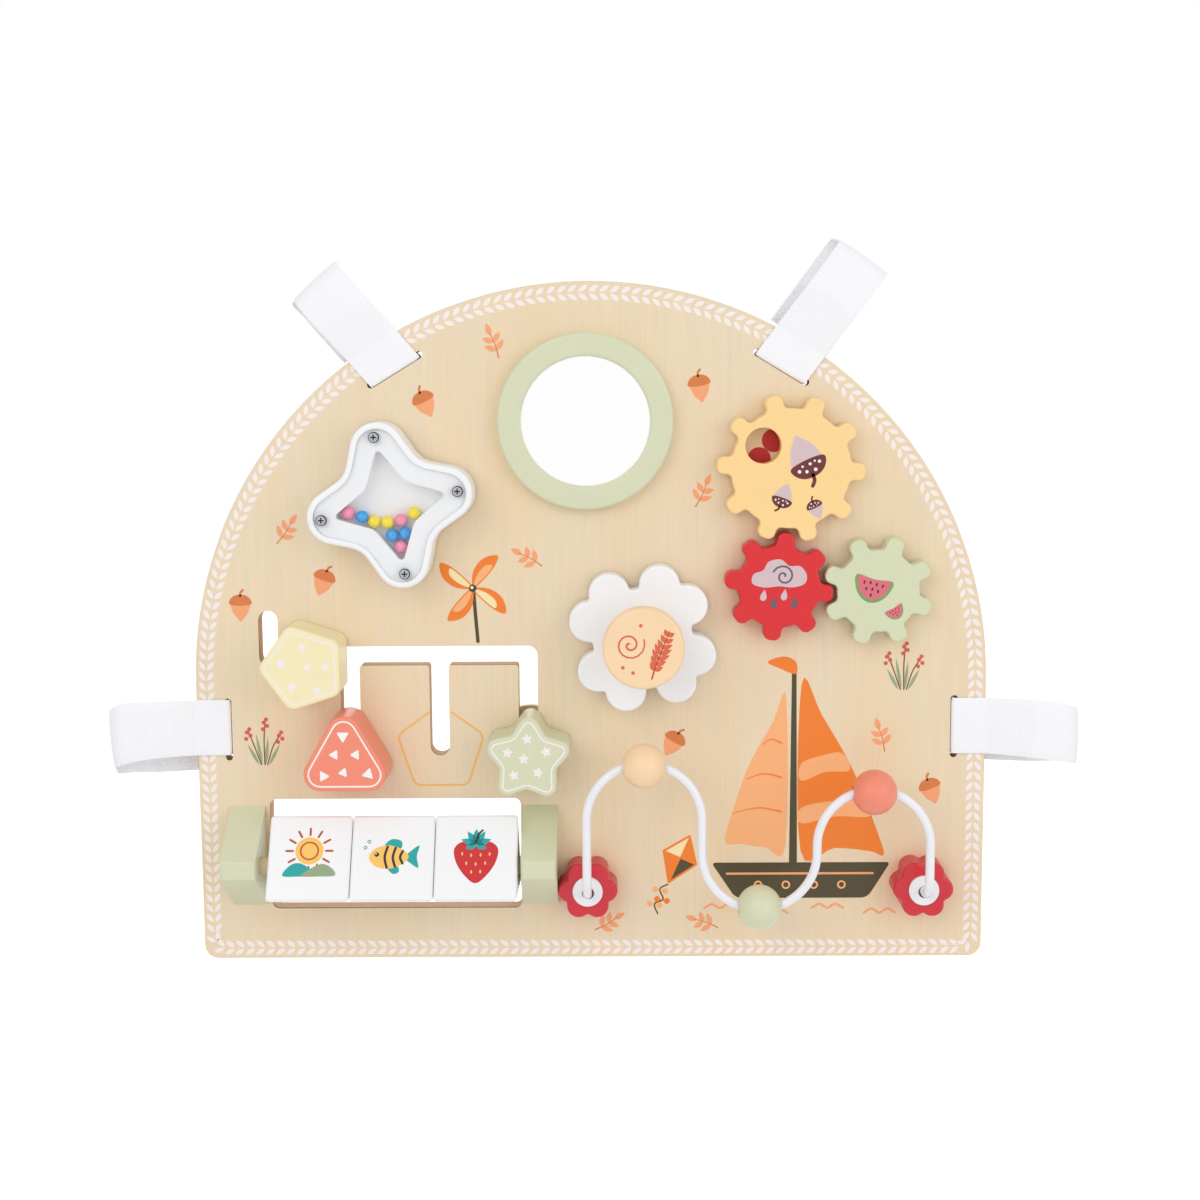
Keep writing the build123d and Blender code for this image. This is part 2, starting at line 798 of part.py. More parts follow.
def make_maze():
    start = maze_wire_start()
    places = maze_base_places()
    section = Plane(origin=(*places[0], start), z_dir=(0, 0, 1)) * Circle(wire_diameter / 2)
    parts["maze_wire"] = sweep(section, path=maze_path())
    washers = None
    screws = None
    wire_hole = wire_diameter + 2 * drill_clearance
    screw_hole = base_screw_diameter + 2 * drill_clearance
    for name, place in zip(("left", "right"), places):
        base = layer(Pos(*place) * base_outline(), 0, base_height)
        base = fillet(face_edges(base, base_height), base_round)
        base -= rod(place, wire_hole, base_height - wire_seat_depth, base_height)
        base -= rod(place, screw_hole, 0, base_screw_length - board_thickness + drill_clearance)
        parts["maze_base_" + name] = base
        washer = rod(place, maze_washer_diameter, base_height, base_height + maze_washer_height)
        washer -= rod(place, wire_hole, base_height, base_height + maze_washer_height)
        screw = pan_screw(place, base_screw_diameter, base_screw_length,
                          base_screw_head_diameter, base_screw_head_height, board_back, -1)
        washers = washer if washers is None else washers + washer
        screws = screw if screws is None else screws + screw
    parts["maze_washers"] = washers
    parts["maze_base_screws"] = screws
    left, first, second, right = maze_stations()
    parts["maze_bead_peach"] = maze_bead(
        (left + first) / 2, first_hump_up, first_hump_radius, 1)
    parts["maze_bead_sage"] = maze_bead((first + second) / 2, valley_up, valley_radius, -1)
    parts["maze_bead_coral"] = maze_bead(
        (second + right) / 2, second_hump_up, second_hump_radius, 1)


def export_parts():
    os.makedirs("parts", exist_ok=True)
    upright = Plane(origin=(0, -board_thickness / 2, 0), x_dir=(1, 0, 0), z_dir=(0, -1, 0))
    for name, shape in parts.items():
        export_step(Compound(children=(upright.location * shape).solids()),
                    os.path.join("parts", name + ".step"))


make_board()
make_straps()
make_mirror()
make_shaker()
make_gear("yellow", yellow_teeth, yellow_tip_radius, yellow_root_radius)
make_gear("red", red_teeth, red_tip_radius, red_root_radius)
make_gear("green", green_teeth, green_tip_radius, green_root_radius)
make_flower()
for slider in slider_places():
    make_slider(slider)
make_drum()
make_maze()
export_parts()
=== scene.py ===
"""Looks of a wooden busy board: finishes, prints, webbing loops, stage and camera.

Positions on a printed face are in millimetres, to the right and up; meshes are in metres.
"""

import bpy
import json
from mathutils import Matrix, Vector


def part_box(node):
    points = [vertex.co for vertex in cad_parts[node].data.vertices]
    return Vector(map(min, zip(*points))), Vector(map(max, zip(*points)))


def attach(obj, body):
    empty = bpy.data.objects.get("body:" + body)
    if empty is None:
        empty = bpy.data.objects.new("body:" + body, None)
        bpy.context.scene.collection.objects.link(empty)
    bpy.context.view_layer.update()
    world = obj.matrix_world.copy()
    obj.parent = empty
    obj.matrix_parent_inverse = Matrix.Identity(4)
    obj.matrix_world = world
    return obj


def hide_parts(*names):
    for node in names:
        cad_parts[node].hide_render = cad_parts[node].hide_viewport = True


bl_info = {
    "name": "Wooden Busy Board",
    "version": (1, 0, 0),
    "blender": (4, 5, 0),
    "location": "View3D > Sidebar > Busy Board",
    "description": "Dresses an arched wooden busy board: paint, prints, webbing loops and stage",
    "category": "Add Mesh",
}

import json
from functools import partialmethod
from math import asin, atan2, cos, hypot, pi, radians, sin, tan

import bmesh
import bpy
from mathutils import Matrix, Vector
from mathutils.geometry import tessellate_polygon

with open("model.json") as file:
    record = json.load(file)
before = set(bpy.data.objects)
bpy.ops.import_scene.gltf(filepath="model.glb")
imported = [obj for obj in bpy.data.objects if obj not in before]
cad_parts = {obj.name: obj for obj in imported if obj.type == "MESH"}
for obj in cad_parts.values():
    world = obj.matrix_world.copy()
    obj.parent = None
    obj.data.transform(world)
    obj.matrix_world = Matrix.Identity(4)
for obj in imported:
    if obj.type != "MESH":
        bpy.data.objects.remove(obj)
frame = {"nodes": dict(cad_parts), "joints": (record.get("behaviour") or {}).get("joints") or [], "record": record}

MM = 0.001
joints = {joint["name"]: joint for joint in frame["joints"]}
board_low, board_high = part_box("base_board")
board_width = (board_high.x - board_low.x) / MM
board_height = (board_high.z - board_low.z) / MM
side_height = board_height - board_width / 2
front_y = board_low.y
back_y = board_high.y


# Colours

def srgb(red, green, blue):
    """A colour given as it looks on a screen, 0 to 255, in Blender's linear values."""
    def linear(value):
        value /= 255
        return value / 12.92 if value <= 0.04045 else ((value + 0.055) / 1.055) ** 2.4
    return linear(red), linear(green), linear(blue)


def tint(name, description, red, green, blue):
    return bpy.props.FloatVectorProperty(
        name=name, description=description, subtype="COLOR", size=3, min=0, max=1,
        default=srgb(red, green, blue))


def number(name, description, default, **more):
    return bpy.props.FloatProperty(name=name, description=description, default=default, **more)


def length(name, description, millimetres):
    return number(name, description, millimetres * MM, unit="LENGTH", min=0)


class BusyBoardPaints(bpy.types.PropertyGroup):
    """Colours of the painted wood, the webbing and the small parts."""
    birch: tint("Birch", "Clear-coated birch face of the board", 240, 222, 192)
    bare: tint("Bare wood", "Sanded wood without paint", 228, 206, 170)
    cut_edge: tint("Cut edge", "Sawn edges of the cuts", 214, 176, 138)
    burnt_line: tint("Burnt line", "Browned front of the cuts", 140, 98, 62)
    sage: tint("Sage", "Mirror ring, brackets and star", 216, 219, 186)
    white: tint("White", "White paint", 247, 248, 250)
    yellow: tint("Yellow", "Large gear", 254, 216, 148)
    red: tint("Red", "Small gear", 220, 26, 34)
    pale_green: tint("Pale green", "Second small gear", 215, 220, 184)
    peach: tint("Peach", "Knob and first maze bead", 251, 217, 174)
    cream: tint("Cream", "Pentagon", 248, 236, 190)
    coral: tint("Coral", "Triangle and last maze bead", 246, 140, 114)
    maze_red: tint("Maze red", "Bases of the bead maze", 208, 28, 46)
    webbing: tint("Webbing", "Woven loops", 250, 250, 254)
    pink_bead: tint("Pink bead", "Beads in the shaker", 255, 142, 178)
    blue_bead: tint("Blue bead", "Beads in the shaker", 0, 160, 240)
    yellow_bead: tint("Yellow bead", "Beads in the shaker", 255, 228, 0)


class BusyBoardInks(bpy.types.PropertyGroup):
    """Colours of the screen-printed pictures."""
    leaf_white: tint("Leaf white", "Leaf chain, pentagon and star", 250, 238, 236)
    orange: tint("Orange", "Sails, pinwheel and kite", 243, 128, 36)
    apricot: tint("Apricot", "Second sail and stripes", 252, 180, 122)
    # Dark also paints the shade in the washers' holes round the wires
    dark: tint("Dark", "Hull, mast, sticks and holes", 70, 60, 28)
    leaf: tint("Leaf", "Scattered sprigs", 248, 166, 116)
    cream_ink: tint("Cream ink", "Folds of the pinwheel and the kite", 252, 232, 176)
    vein: tint("Vein", "Stems of the sprigs", 216, 124, 66)
    grass: tint("Grass", "Grass tufts", 150, 168, 130)
    twig: tint("Twig", "Seed heads' stems", 122, 78, 50)
    berry: tint("Berry", "Seed heads", 214, 90, 74)
    home: tint("Home", "Outline of the pentagon's home", 244, 190, 106)
    maroon: tint("Maroon", "Acorn caps", 104, 34, 38)
    dust: tint("Dust", "Acorns and cloud", 216, 192, 196)
    slate: tint("Slate", "Raindrops and swirl", 98, 90, 102)
    pink: tint("Pink", "Melon", 226, 108, 122)
    rind: tint("Rind", "Melon rind", 120, 160, 96)
    black: tint("Black", "Seeds and stripes", 34, 30, 32)
    rust: tint("Rust", "Feather on the knob", 222, 104, 70)
    brown: tint("Brown", "Lines on the knob", 182, 76, 34)
    sun: tint("Sun", "Sun and fish", 253, 200, 100)
    teal: tint("Teal", "Hills, fins and leaves", 22, 166, 164)
    strawberry: tint("Strawberry", "Strawberry", 206, 34, 42)
    deep_red: tint("Deep red", "Spots behind the large gear", 188, 28, 26)
    plain_white: tint("Plain white", "Outlines and dots", 250, 248, 244)


class BusyBoardSizes(bpy.types.PropertyGroup):
    """Sizes of the prints and the webbing."""
    ink: length("Ink", "Thickness of one printed layer", 0.06)
    border_inset: length("Border inset", "Edge of the board to the leaf chain", 6.2)
    leaf_pitch: length("Leaf pitch", "Spacing of the leaf pairs", 5.9)
    leaf_length: length("Leaf length", "Length of one leaf of the chain", 6.3)
    leaf_width: length("Leaf width", "Width of one leaf of the chain", 2.8)
    webbing_width: length("Webbing width", "Width of the loops", 32)
    webbing_thickness: length("Webbing thickness", "Thickness of the loops", 1.5)


class BusyBoardStage(bpy.types.PropertyGroup):
    """Camera and light."""
    camera_place: bpy.props.FloatVectorProperty(
        name="Camera place", description="Where the camera stands", subtype="TRANSLATION",
        unit="LENGTH", size=3, default=(0.0161, -1.0333, 0.3405))
    camera_down: number("Camera tilt", "How far the camera looks down", 0.1274,
                        subtype="ANGLE")
    camera_left: number("Camera turn", "How far the camera turns to the left", 0.0099,
                        subtype="ANGLE")
    camera_roll: number("Camera roll", "Roll about the line of sight", 0.0067, subtype="ANGLE")
    lens: number("Lens", "Focal length in millimetres", 54.92, min=1)
    key_power: number("Key light", "Power of the large soft light in watts", 8.5, min=0)
    fill_power: number("Fill light", "Power of the fill and back lights in watts", 6.5, min=0)
    sky: number("Sky", "Strength of the even light from all sides", 0.70, min=0)


# Node trees

class Value:
    """An output socket that takes part in arithmetic and adds its Math nodes as it goes."""

    def __init__(self, tree, socket):
        self.tree = tree
        self.socket = socket

    def other(self, name):
        """Another output of the same node."""
        return Value(self.tree, self.socket.node.outputs[name])

    def math(self, operation, *others, clamp=False):
        return self.tree.node("ShaderNodeMath", dict(enumerate((self, *others))),
                              operation=operation, use_clamp=clamp)

    def clamped(self, factor):
        """The value times a factor, held between 0 and 1."""
        return self.math("MULTIPLY", factor, clamp=True)

    def __rsub__(self, other):
        return self * -1 + other

    __add__ = __radd__ = partialmethod(math, "ADD")
    __sub__ = partialmethod(math, "SUBTRACT")
    __mul__ = partialmethod(math, "MULTIPLY")
    __truediv__ = partialmethod(math, "DIVIDE")
    __gt__ = partialmethod(math, "GREATER_THAN")
    __lt__ = partialmethod(math, "LESS_THAN")


class Tree:
    """Adds nodes to a node tree: a type, values or links of its sockets, and its settings."""

    def __init__(self, tree):
        self.tree = tree
        self.tree.nodes.clear()

    def node(self, kind, inputs=None, output=0, **settings):
        node = self.tree.nodes.new(kind)
        for name, value in settings.items():
            setattr(node, name, value)
        for key, value in (inputs or {}).items():
            socket = node.inputs[key]
            if isinstance(value, Value):
                self.tree.links.new(value.socket, socket)
            else:
                socket.default_value = (*value, 1) if socket.type == "RGBA" else value
        return Value(self, node.outputs[output]) if node.outputs else None

    def axes(self, vector):
        split = self.node("ShaderNodeSeparateXYZ", {0: vector})
        return [split.other(index) for index in range(3)]

    def seen(self):
        """1 for rays of the camera, reflections and clear pieces, 0 for light that scatters."""
        camera = self.node("ShaderNodeLightPath", output="Is Camera Ray")
        return camera.math("MAXIMUM", camera.other("Is Glossy Ray")).math(
            "MAXIMUM", camera.other("Is Transmission Ray"))


class Shader(Tree):
    """One material, built from the object's own coordinates in metres."""

    def __init__(self, name):
        self.material = bpy.data.materials.new(name)
        self.material.use_nodes = True
        super().__init__(self.material.node_tree)
        self.place = self.node("ShaderNodeTexCoord", output="Object")

    def facing_front(self):
        """1 where the surface looks to the front or back, 0 where it looks sideways."""
        facing = self.node("ShaderNodeNewGeometry", output="True Normal")
        return self.axes(facing)[1].math("ABSOLUTE")

    def noise(self, scale, detail, roughness=0.5, distortion=0.0, stretch=None, vector=None):
        """Noise from 0 to 1, longer along an axis whose stretch is below 1."""
        vector = vector or self.place
        if stretch:
            vector = self.node("ShaderNodeVectorMath", {0: vector, 1: stretch},
                               operation="MULTIPLY")
        return self.node("ShaderNodeTexNoise", {
            "Vector": vector, "Scale": scale, "Detail": detail, "Roughness": roughness,
            "Distortion": distortion}, "Fac", noise_dimensions="3D")

    def waver(self, *noise, **more):
        """Noise about 0."""
        return self.noise(*noise, **more) - 0.5

    def mix(self, factor, first, second, blend="MIX"):
        """Two colours mixed; sockets 6 and 7 and output 2 are the node's own for colours."""
        return self.node("ShaderNodeMix", {0: factor, 6: first, 7: second}, 2,
                         data_type="RGBA", blend_type=blend)

    def shade(self, colour, amount):
        """The colour made lighter or darker by an amount that varies about 0."""
        grey = self.node("ShaderNodeCombineColor", dict.fromkeys(range(3), amount + 1))
        return self.mix(1.0, colour, grey, "MULTIPLY")

    def surface(self, colour, roughness, height=None, relief=None, **sockets):
        """Ends the material; the relief is its depth in metres and its strength."""
        inputs = {name.replace("_", " ").title(): value for name, value in sockets.items()}
        if height:
            depth, strength = relief
            inputs["Normal"] = self.node("ShaderNodeBump", {
                "Height": height, "Distance": depth, "Strength": strength})
        return self.end(self.node("ShaderNodeBsdfPrincipled", {
            "Base Color": colour, "Roughness": roughness, **inputs}))

    def end(self, shader):
        self.node("ShaderNodeOutputMaterial", {"Surface": shader})
        return self.material


# Finishes

def birch_board(paints):
    """Rotary-cut birch plywood: fine upright grain, plies and laser-browned cuts on the edges."""
    outer_reach = board_width / 2 - 2.5
    bottom_reach = 3
    ply = 1.35
    burnt_depth = 2.4
    warm_share = (0.93, 0.86, 0.78)
    dark_ply, light_ply = (0.62, 0.42, 0.25), (0.80, 0.62, 0.42)

    shader = Shader("birch_board")
    x, y, z = shader.axes(shader.place)
    rise = (z - side_height * MM).math("MAXIMUM", 0)
    reach = (x * x + rise * rise).math("SQRT")
    outside = (reach > outer_reach * MM).math("MAXIMUM", z < bottom_reach * MM)

    broad = shader.noise(20, 3, 0.55, 0.4, stretch=(1, 1, 0.24))
    grain = shader.noise(900, 3, 0.6, stretch=(1, 1, 0.03))
    streaks = shader.waver(170, 3, 0.6, stretch=(1, 1, 0.07))
    pores = (shader.noise(1500, 2, stretch=(1, 1, 0.045)) - 0.66).clamped(5)
    tone = (broad - 0.5) * 0.24 + streaks * 0.24 + (grain - 0.5) * 0.12 - pores * 0.10
    warmth = (broad - 0.35) * 2.6 + streaks * 1.5
    warm = shader.mix(warmth.math("MAXIMUM", 0).math("MINIMUM", 1), paints.birch,
                      [a * b for a, b in zip(paints.birch, warm_share)])
    face = shader.shade(warm, tone)

    plies = (y * (pi / (ply * MM))).math("SINE") > 0.1
    depth = (y - front_y) * (1 / (burnt_depth * MM))
    cut = shader.mix(depth.math("POWER", 3, clamp=True), paints.burnt_line, paints.cut_edge)
    edge = shader.mix(outside, cut, shader.mix(plies, dark_ply, light_ply))
    edge = shader.shade(edge, shader.waver(400, 2, 0.6, stretch=(1, 0.2, 1)) * 0.35)

    is_face = shader.facing_front() > 0.5
    roughness = (grain - 0.5) * 0.12 + 0.42 + (1 - is_face) * 0.3
    return shader.surface(shader.mix(is_face, edge, face), roughness,
                          grain - pores * 0.8, (0.00005, 0.5))


def paint(name, colour, roughness=0.42, tone=0.03):
    """Satin paint on wood: faint brush tone, and the wood's grain just telling through."""
    shader = Shader(name)
    cloud = shader.waver(55, 3, 0.55)
    grain = shader.noise(1100, 2, stretch=(1, 1, 0.08))
    speckle = shader.noise(2600, 2)
    colour = shader.shade(colour, cloud * 2 * tone + (grain - 0.5) * tone)
    return shader.surface(colour, cloud * 0.12 + roughness, grain * 0.6 + speckle * 0.4,
                          (0.00004, 0.45), coat_weight=0.12, coat_roughness=0.25)


def ink(name, colour):
    """Screen-printed ink: flat and slightly matt, a little thinner over the wood's pores."""
    shader = Shader(name)
    grain = shader.noise(1300, 2, 0.6, stretch=(1, 1, 0.04))
    mottle = shader.waver(500, 2, 0.6)
    thin = (grain - 0.62).clamped(3) * 0.10
    return shader.surface(shader.shade(colour, mottle * 0.06 + thin), mottle * 0.15 + 0.5,
                          grain, (0.00002, 0.4))


def bare_wood(name, colour):
    """Sanded pale wood with a straight grain."""
    shader = Shader(name)
    grain = shader.noise(700, 4, 0.6, 0.3, stretch=(1, 1, 0.06))
    lines = (shader.noise(1700, 2, stretch=(1, 1, 0.05)) - 0.62).clamped(4)
    colour = shader.shade(colour, (grain - 0.5) * 0.25 - lines * 0.15)
    return shader.surface(colour, (grain - 0.5) * 0.1 + 0.6, grain - lines, (0.00006, 0.5))


def plastic(name, colour, roughness, coat=0.0):
    """Moulded plastic: even colour with a very fine surface."""
    shader = Shader(name)
    cloud = shader.waver(120, 2)
    return shader.surface(shader.shade(colour, cloud * 0.04), cloud * 0.06 + roughness,
                          shader.noise(3000, 2), (0.00002, 0.25),
                          coat_weight=coat, coat_roughness=0.05)


def steel(name, colour, roughness):
    """Plated steel with fine drawing marks."""
    shader = Shader(name)
    marks = shader.noise(1800, 3, 0.6)
    colour = shader.shade(colour, (marks - 0.5) * 0.2 + shader.waver(150, 2) * 0.1)
    return shader.surface(colour, (marks - 0.5) * 0.15 + roughness, marks, (0.00003, 0.4),
                          metallic=1.0)


def screw_steel():
    """Window screws: light grey on their flat front faces, and near black in their crosses and on their sides."""
    cross_depth = 0.4
    shader = Shader("dark_steel")
    cross_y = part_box("star_window_screws")[0].y + cross_depth * MM
    top = (shader.facing_front() > 0.9).math("MULTIPLY", shader.axes(shader.place)[1] < cross_y)
    marks = shader.noise(1800, 3, 0.6)
    colour = shader.mix(top, srgb(38, 38, 40), srgb(166, 167, 170))
    return shader.surface(shader.shade(colour, (marks - 0.5) * 0.3), (marks - 0.5) * 0.15 + 0.38,
                          marks, (0.00003, 0.4), metallic=1.0)


def mirror_glass():
    """A safe acrylic mirror: bright, with the faintest haze."""
    shader = Shader("mirror_glass")
    haze = shader.waver(40, 3, 0.6)
    return shader.surface(shader.shade((0.985, 0.985, 0.985), haze * 0.02),
                          haze.clamped(0.08) + 0.03, metallic=1.0)


def clear_window():
    """Clear acrylic: seen through, with painted shade on its cut edges and a few hairline scratches."""
    shader = Shader("window_acrylic")
    scratches = (shader.noise(900, 2, stretch=(1, 1, 0.1)) - 0.7).clamped(6)
    # Painted edge shade: the cut edges are made more opaque, so that the grey colour shows as a line there,
    # standing in for how real cut edges bend the light
    cut_edge = 1 - shader.facing_front()
    alpha = (scratches * 0.04 + cut_edge * 0.30).math("ADD", 0.03, clamp=True)
    return shader.surface((0.62, 0.65, 0.67), scratches * 0.1 + 0.05, alpha=alpha)


def webbing(colour):
    """Woven tape: ribs across it, broken by the warp, on the piece's own UV map in metres."""
    rib_pitch, warp_pitch = 1.4, 1.1
    shader = Shader("woven_webbing")
    flat = shader.node("ShaderNodeUVMap", uv_map="webbing")
    along, across, _ = shader.axes(flat)
    stagger = (along / (rib_pitch * MM)).math("FLOOR").math("MODULO", 2) * 0.5
    rib = (along * (2 * pi / (rib_pitch * MM))).math("SINE") * 0.5 + 0.5
    warp = ((across / (warp_pitch * MM) + stagger) * (2 * pi)).math("SINE") * 0.5 + 0.5
    weave = rib * 0.75 + warp * 0.35 * rib
    slub = shader.noise(700, 3, 0.6, vector=flat)
    cloud = shader.waver(60, 2, vector=flat)
    tone = (weave - 0.5) * 0.05 + (slub - 0.5) * 0.02 + cloud * 0.03
    return shader.surface(shader.shade(colour, tone), (slub - 0.5) * 0.15 + 0.82,
                          weave + slub * 0.1, (0.00004, 0.5),
                          sheen_weight=0.25, sheen_roughness=0.5)


def hook_pile(colour):
    """Hook-and-loop pile: a rough field of tiny hooks."""
    shader = Shader("hook_pile")
    dots = shader.node("ShaderNodeTexVoronoi", {"Vector": shader.place, "Scale": 1300.0},
                       "Distance", feature="F1")
    return shader.surface(shader.shade(colour, (0.5 - dots) * 0.25), 0.9 - dots * 0.1,
                          1 - dots, (0.0003, 0.9))


def thread(name, colour):
    """Twisted sewing thread."""
    shader = Shader(name)
    twist = shader.noise(1800, 2, stretch=(1, 1, 3))
    return shader.surface(shader.shade(colour, (twist - 0.5) * 0.2), (twist - 0.5) * 0.2 + 0.6,
                          twist, (0.0001, 0.7))


def board_finishes(paints):
    """One finish for each material slot of the record."""
    painted = {
        "sage_paint": (paints.sage,), "yellow_paint": (paints.yellow,),
        "pale_green_paint": (paints.pale_green,), "cream_paint": (paints.cream,),
        "red_paint": (paints.red, 0.36), "peach_paint": (paints.peach, 0.36),
        "coral_paint": (paints.coral, 0.38), "maze_red_paint": (paints.maze_red, 0.32),
        "white_paint": (paints.white, 0.36, 0.015), "picture_paint": (paints.white, 0.34, 0.012)}
    moulded = {
        "pink_bead": (paints.pink_bead, 0.22, 0.6), "blue_bead": (paints.blue_bead, 0.22, 0.6),
        "yellow_bead": (paints.yellow_bead, 0.22, 0.6),
        "white_wire": (srgb(240, 240, 245), 0.22, 0.4),
        "white_washer": (srgb(240, 240, 245), 0.25, 0.3),
        "spacer_plastic": (srgb(235, 235, 235), 0.5)}
    return {
        **{name: paint(name, *look) for name, look in painted.items()},
        **{name: plastic(name, *look) for name, look in moulded.items()},
        "board_wood": birch_board(paints),
        "webbing": webbing(paints.webbing),
        "hook_patch": hook_pile(paints.webbing),
        "mirror_glass": mirror_glass(),
        "clear_window": clear_window(),
        "dark_steel": screw_steel(),
        "steel": steel("zinc_steel", srgb(190, 190, 192), 0.32),
        "bare_wood": bare_wood("sanded_wood", paints.bare),
    }


class BUSYBOARD_OT_paint(bpy.types.Operator):
    """Give every part of the frame the finish of its material slot"""
    bl_idname = "busyboard.paint"
    bl_label = "Paint Parts"

    def execute(self, context):
        paints = context.scene.busy_board_paints
        finishes = board_finishes(paints)
        thread("sewing_thread", paints.webbing)
        slots = {part["node"]: part["material_slot"] for part in frame["record"]["subparts"]}
        for name, node in frame["nodes"].items():
            for slot in node.material_slots:
                slot.material = finishes[slots[name]]
        return {"FINISHED"}


# Meshes and pieces

def in_scene(name, data):
    """A new object of the data, linked to the scene."""
    made = bpy.data.objects.new(name, data)
    bpy.context.scene.collection.objects.link(made)
    return made


def new_piece(name, body, mesh, replaces=()):
    """A finished mesh as an object that rides on a body."""
    piece = in_scene(name, mesh)
    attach(piece, body)
    if replaces:
        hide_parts(*replaces)


def new_mesh(name, shape, *materials):
    """A bmesh made into a mesh with its materials."""
    mesh = bpy.data.meshes.new(name)
    shape.to_mesh(mesh)
    shape.free()
    for material in materials:
        mesh.materials.append(material)
    return mesh


def line_mesh(name, corners):
    """A closed line through the corners as the edges of a mesh."""
    mesh = bpy.data.meshes.new(name)
    count = len(corners)
    mesh.from_pydata(corners, [(index, (index + 1) % count) for index in range(count)], [])
    return mesh


def add_band(shape, low, high):
    """Faces between two closed rings of vertices of a bmesh."""
    count = len(low)
    steps = [(index, (index + 1) % count) for index in range(count)]
    return [shape.faces.new((low[a], low[b], high[b], high[a])) for a, b in steps]


class Growth(Tree):
    """A Geometry Nodes tree with named inputs for its sizes and its material."""

    def __init__(self, name, *labels):
        super().__init__(bpy.data.node_groups.new(name, "GeometryNodeTree"))
        add = self.tree.interface.new_socket
        add("Geometry", in_out="OUTPUT", socket_type="NodeSocketGeometry")
        for label in ("Geometry", *labels, "Material"):
            kind = label if label in ("Geometry", "Material") else "Float"
            add(label, in_out="INPUT", socket_type="NodeSocket" + kind)
        self.given = self.node("NodeGroupInput").other

    def along_path(self, item, out):
        """The item at even steps along the path, its X along the path and its Z outwards."""
        path = self.node("GeometryNodeMeshToCurve", {0: self.given("Geometry")})
        length = self.node("GeometryNodeCurveLength", {0: path})
        count = (length / self.given("Pitch")).math("ROUND")
        points = self.node("GeometryNodeCurveToPoints", {"Curve": path, "Count": count},
                           mode="COUNT")
        upright = self.node("FunctionNodeAlignRotationToVector", {"Vector": out}, axis="Z")
        facing = self.node("FunctionNodeAlignRotationToVector", {
            "Rotation": upright, "Vector": points.other("Tangent")}, axis="X", pivot_axis="Z")
        row = self.node("GeometryNodeInstanceOnPoints", {
            "Points": points, "Instance": item, "Rotation": facing})
        real = self.node("GeometryNodeRealizeInstances", {0: row})
        self.node("NodeGroupOutput", {0: self.node("GeometryNodeSetMaterial", {
            "Geometry": real, "Material": self.given("Material")})})
        return self.tree


def grow(name, tree, mesh, settings):
    """The plain mesh that a Geometry Nodes tree makes of a mesh."""
    scratch = in_scene(name, mesh)
    modifier = scratch.modifiers.new(name, "NODES")
    modifier.node_group = tree
    for item in tree.interface.items_tree:
        if item.in_out == "INPUT" and item.name in settings:
            modifier[item.identifier] = settings[item.name]
    seen = scratch.evaluated_get(bpy.context.evaluated_depsgraph_get())
    grown = bpy.data.meshes.new_from_object(seen)
    grown.name = name
    bpy.data.objects.remove(scratch)
    return grown


# Outlines, as points in millimetres to the right and up

def held(value, low=0.0, high=1.0):
    """The value, kept from low to high."""
    return min(max(value, low), high)


def placed(outline, x=0.0, y=0.0, turn=0.0, scale=1.0):
    """An outline scaled, turned by degrees and moved."""
    along = scale * cos(radians(turn))
    aside = scale * sin(radians(turn))
    return [(x + u * along - v * aside, y + u * aside + v * along) for u, v in outline]


def spoke(reach, turn, x=0.0, y=0.0):
    """The point at a reach and a turn from a middle."""
    return placed([(reach, 0)], x, y, turn)[0]


def oval(x, y, across, up=None, count=24):
    up = across if up is None else up
    ring = [2 * pi * index / count for index in range(count)]
    return placed([(across * cos(a), up * sin(a)) for a in ring], x, y)


def leaf(x, y, length, width, turn, belly=1.0, count=9):
    """A pointed leaf from its stalk's end; a belly below 1 is nearer the stalk."""
    half = [(length * k / count, width / 2 * sin(pi * (k / count) ** belly))
            for k in range(count + 1)]
    return placed(half + [(u, -v) for u, v in reversed(half[1:-1])], x, y, turn)


def mirrored(*half):
    """The corners of one side, then those of the other side back to the start."""
    return [*half, *((-x, y) for x, y in reversed(half) if x)]


def smooth(corners, closed=True, steps=6):
    """A smooth line through the corners."""
    count = len(corners)

    def corner(index):
        return Vector(corners[index % count if closed else held(index, 0, count - 1)])

    points = []
    for index in range(count if closed else count - 1):
        a, b, c, d = (corner(index + offset) for offset in (-1, 0, 1, 2))
        for t in (step / steps for step in range(steps)):
            point = 0.5 * (2 * b + (c - a) * t + (2 * a - 5 * b + 4 * c - d) * t ** 2
                           + (3 * b - a - 3 * c + d) * t ** 3)
            points.append(tuple(point))
    return points if closed else points + [tuple(corners[-1])]


def rounded(corners, radii, closed=True, steps=6):
    """Straight runs with an arc of each radius at the corners between them."""
    count = len(corners)
    points = []
    for index, corner in enumerate(corners):
        if not closed and index in (0, count - 1):
            points.append(tuple(corner))
            continue
        corner = Vector(corner)
        back = (Vector(corners[index - 1]) - corner).normalized()
        on = (Vector(corners[(index + 1) % count]) - corner).normalized()
        half = back.angle(on) / 2
        radius = radii[index] if isinstance(radii, (list, tuple)) else radii
        centre = corner + (back + on).normalized() * (radius / sin(half))
        start, end = ((corner + way * (radius / tan(half)) - centre).normalized()
                      for way in (back, on))
        points += [tuple(centre + start.slerp(end, step / steps) * radius)
                   for step in range(steps + 1)]
    return points


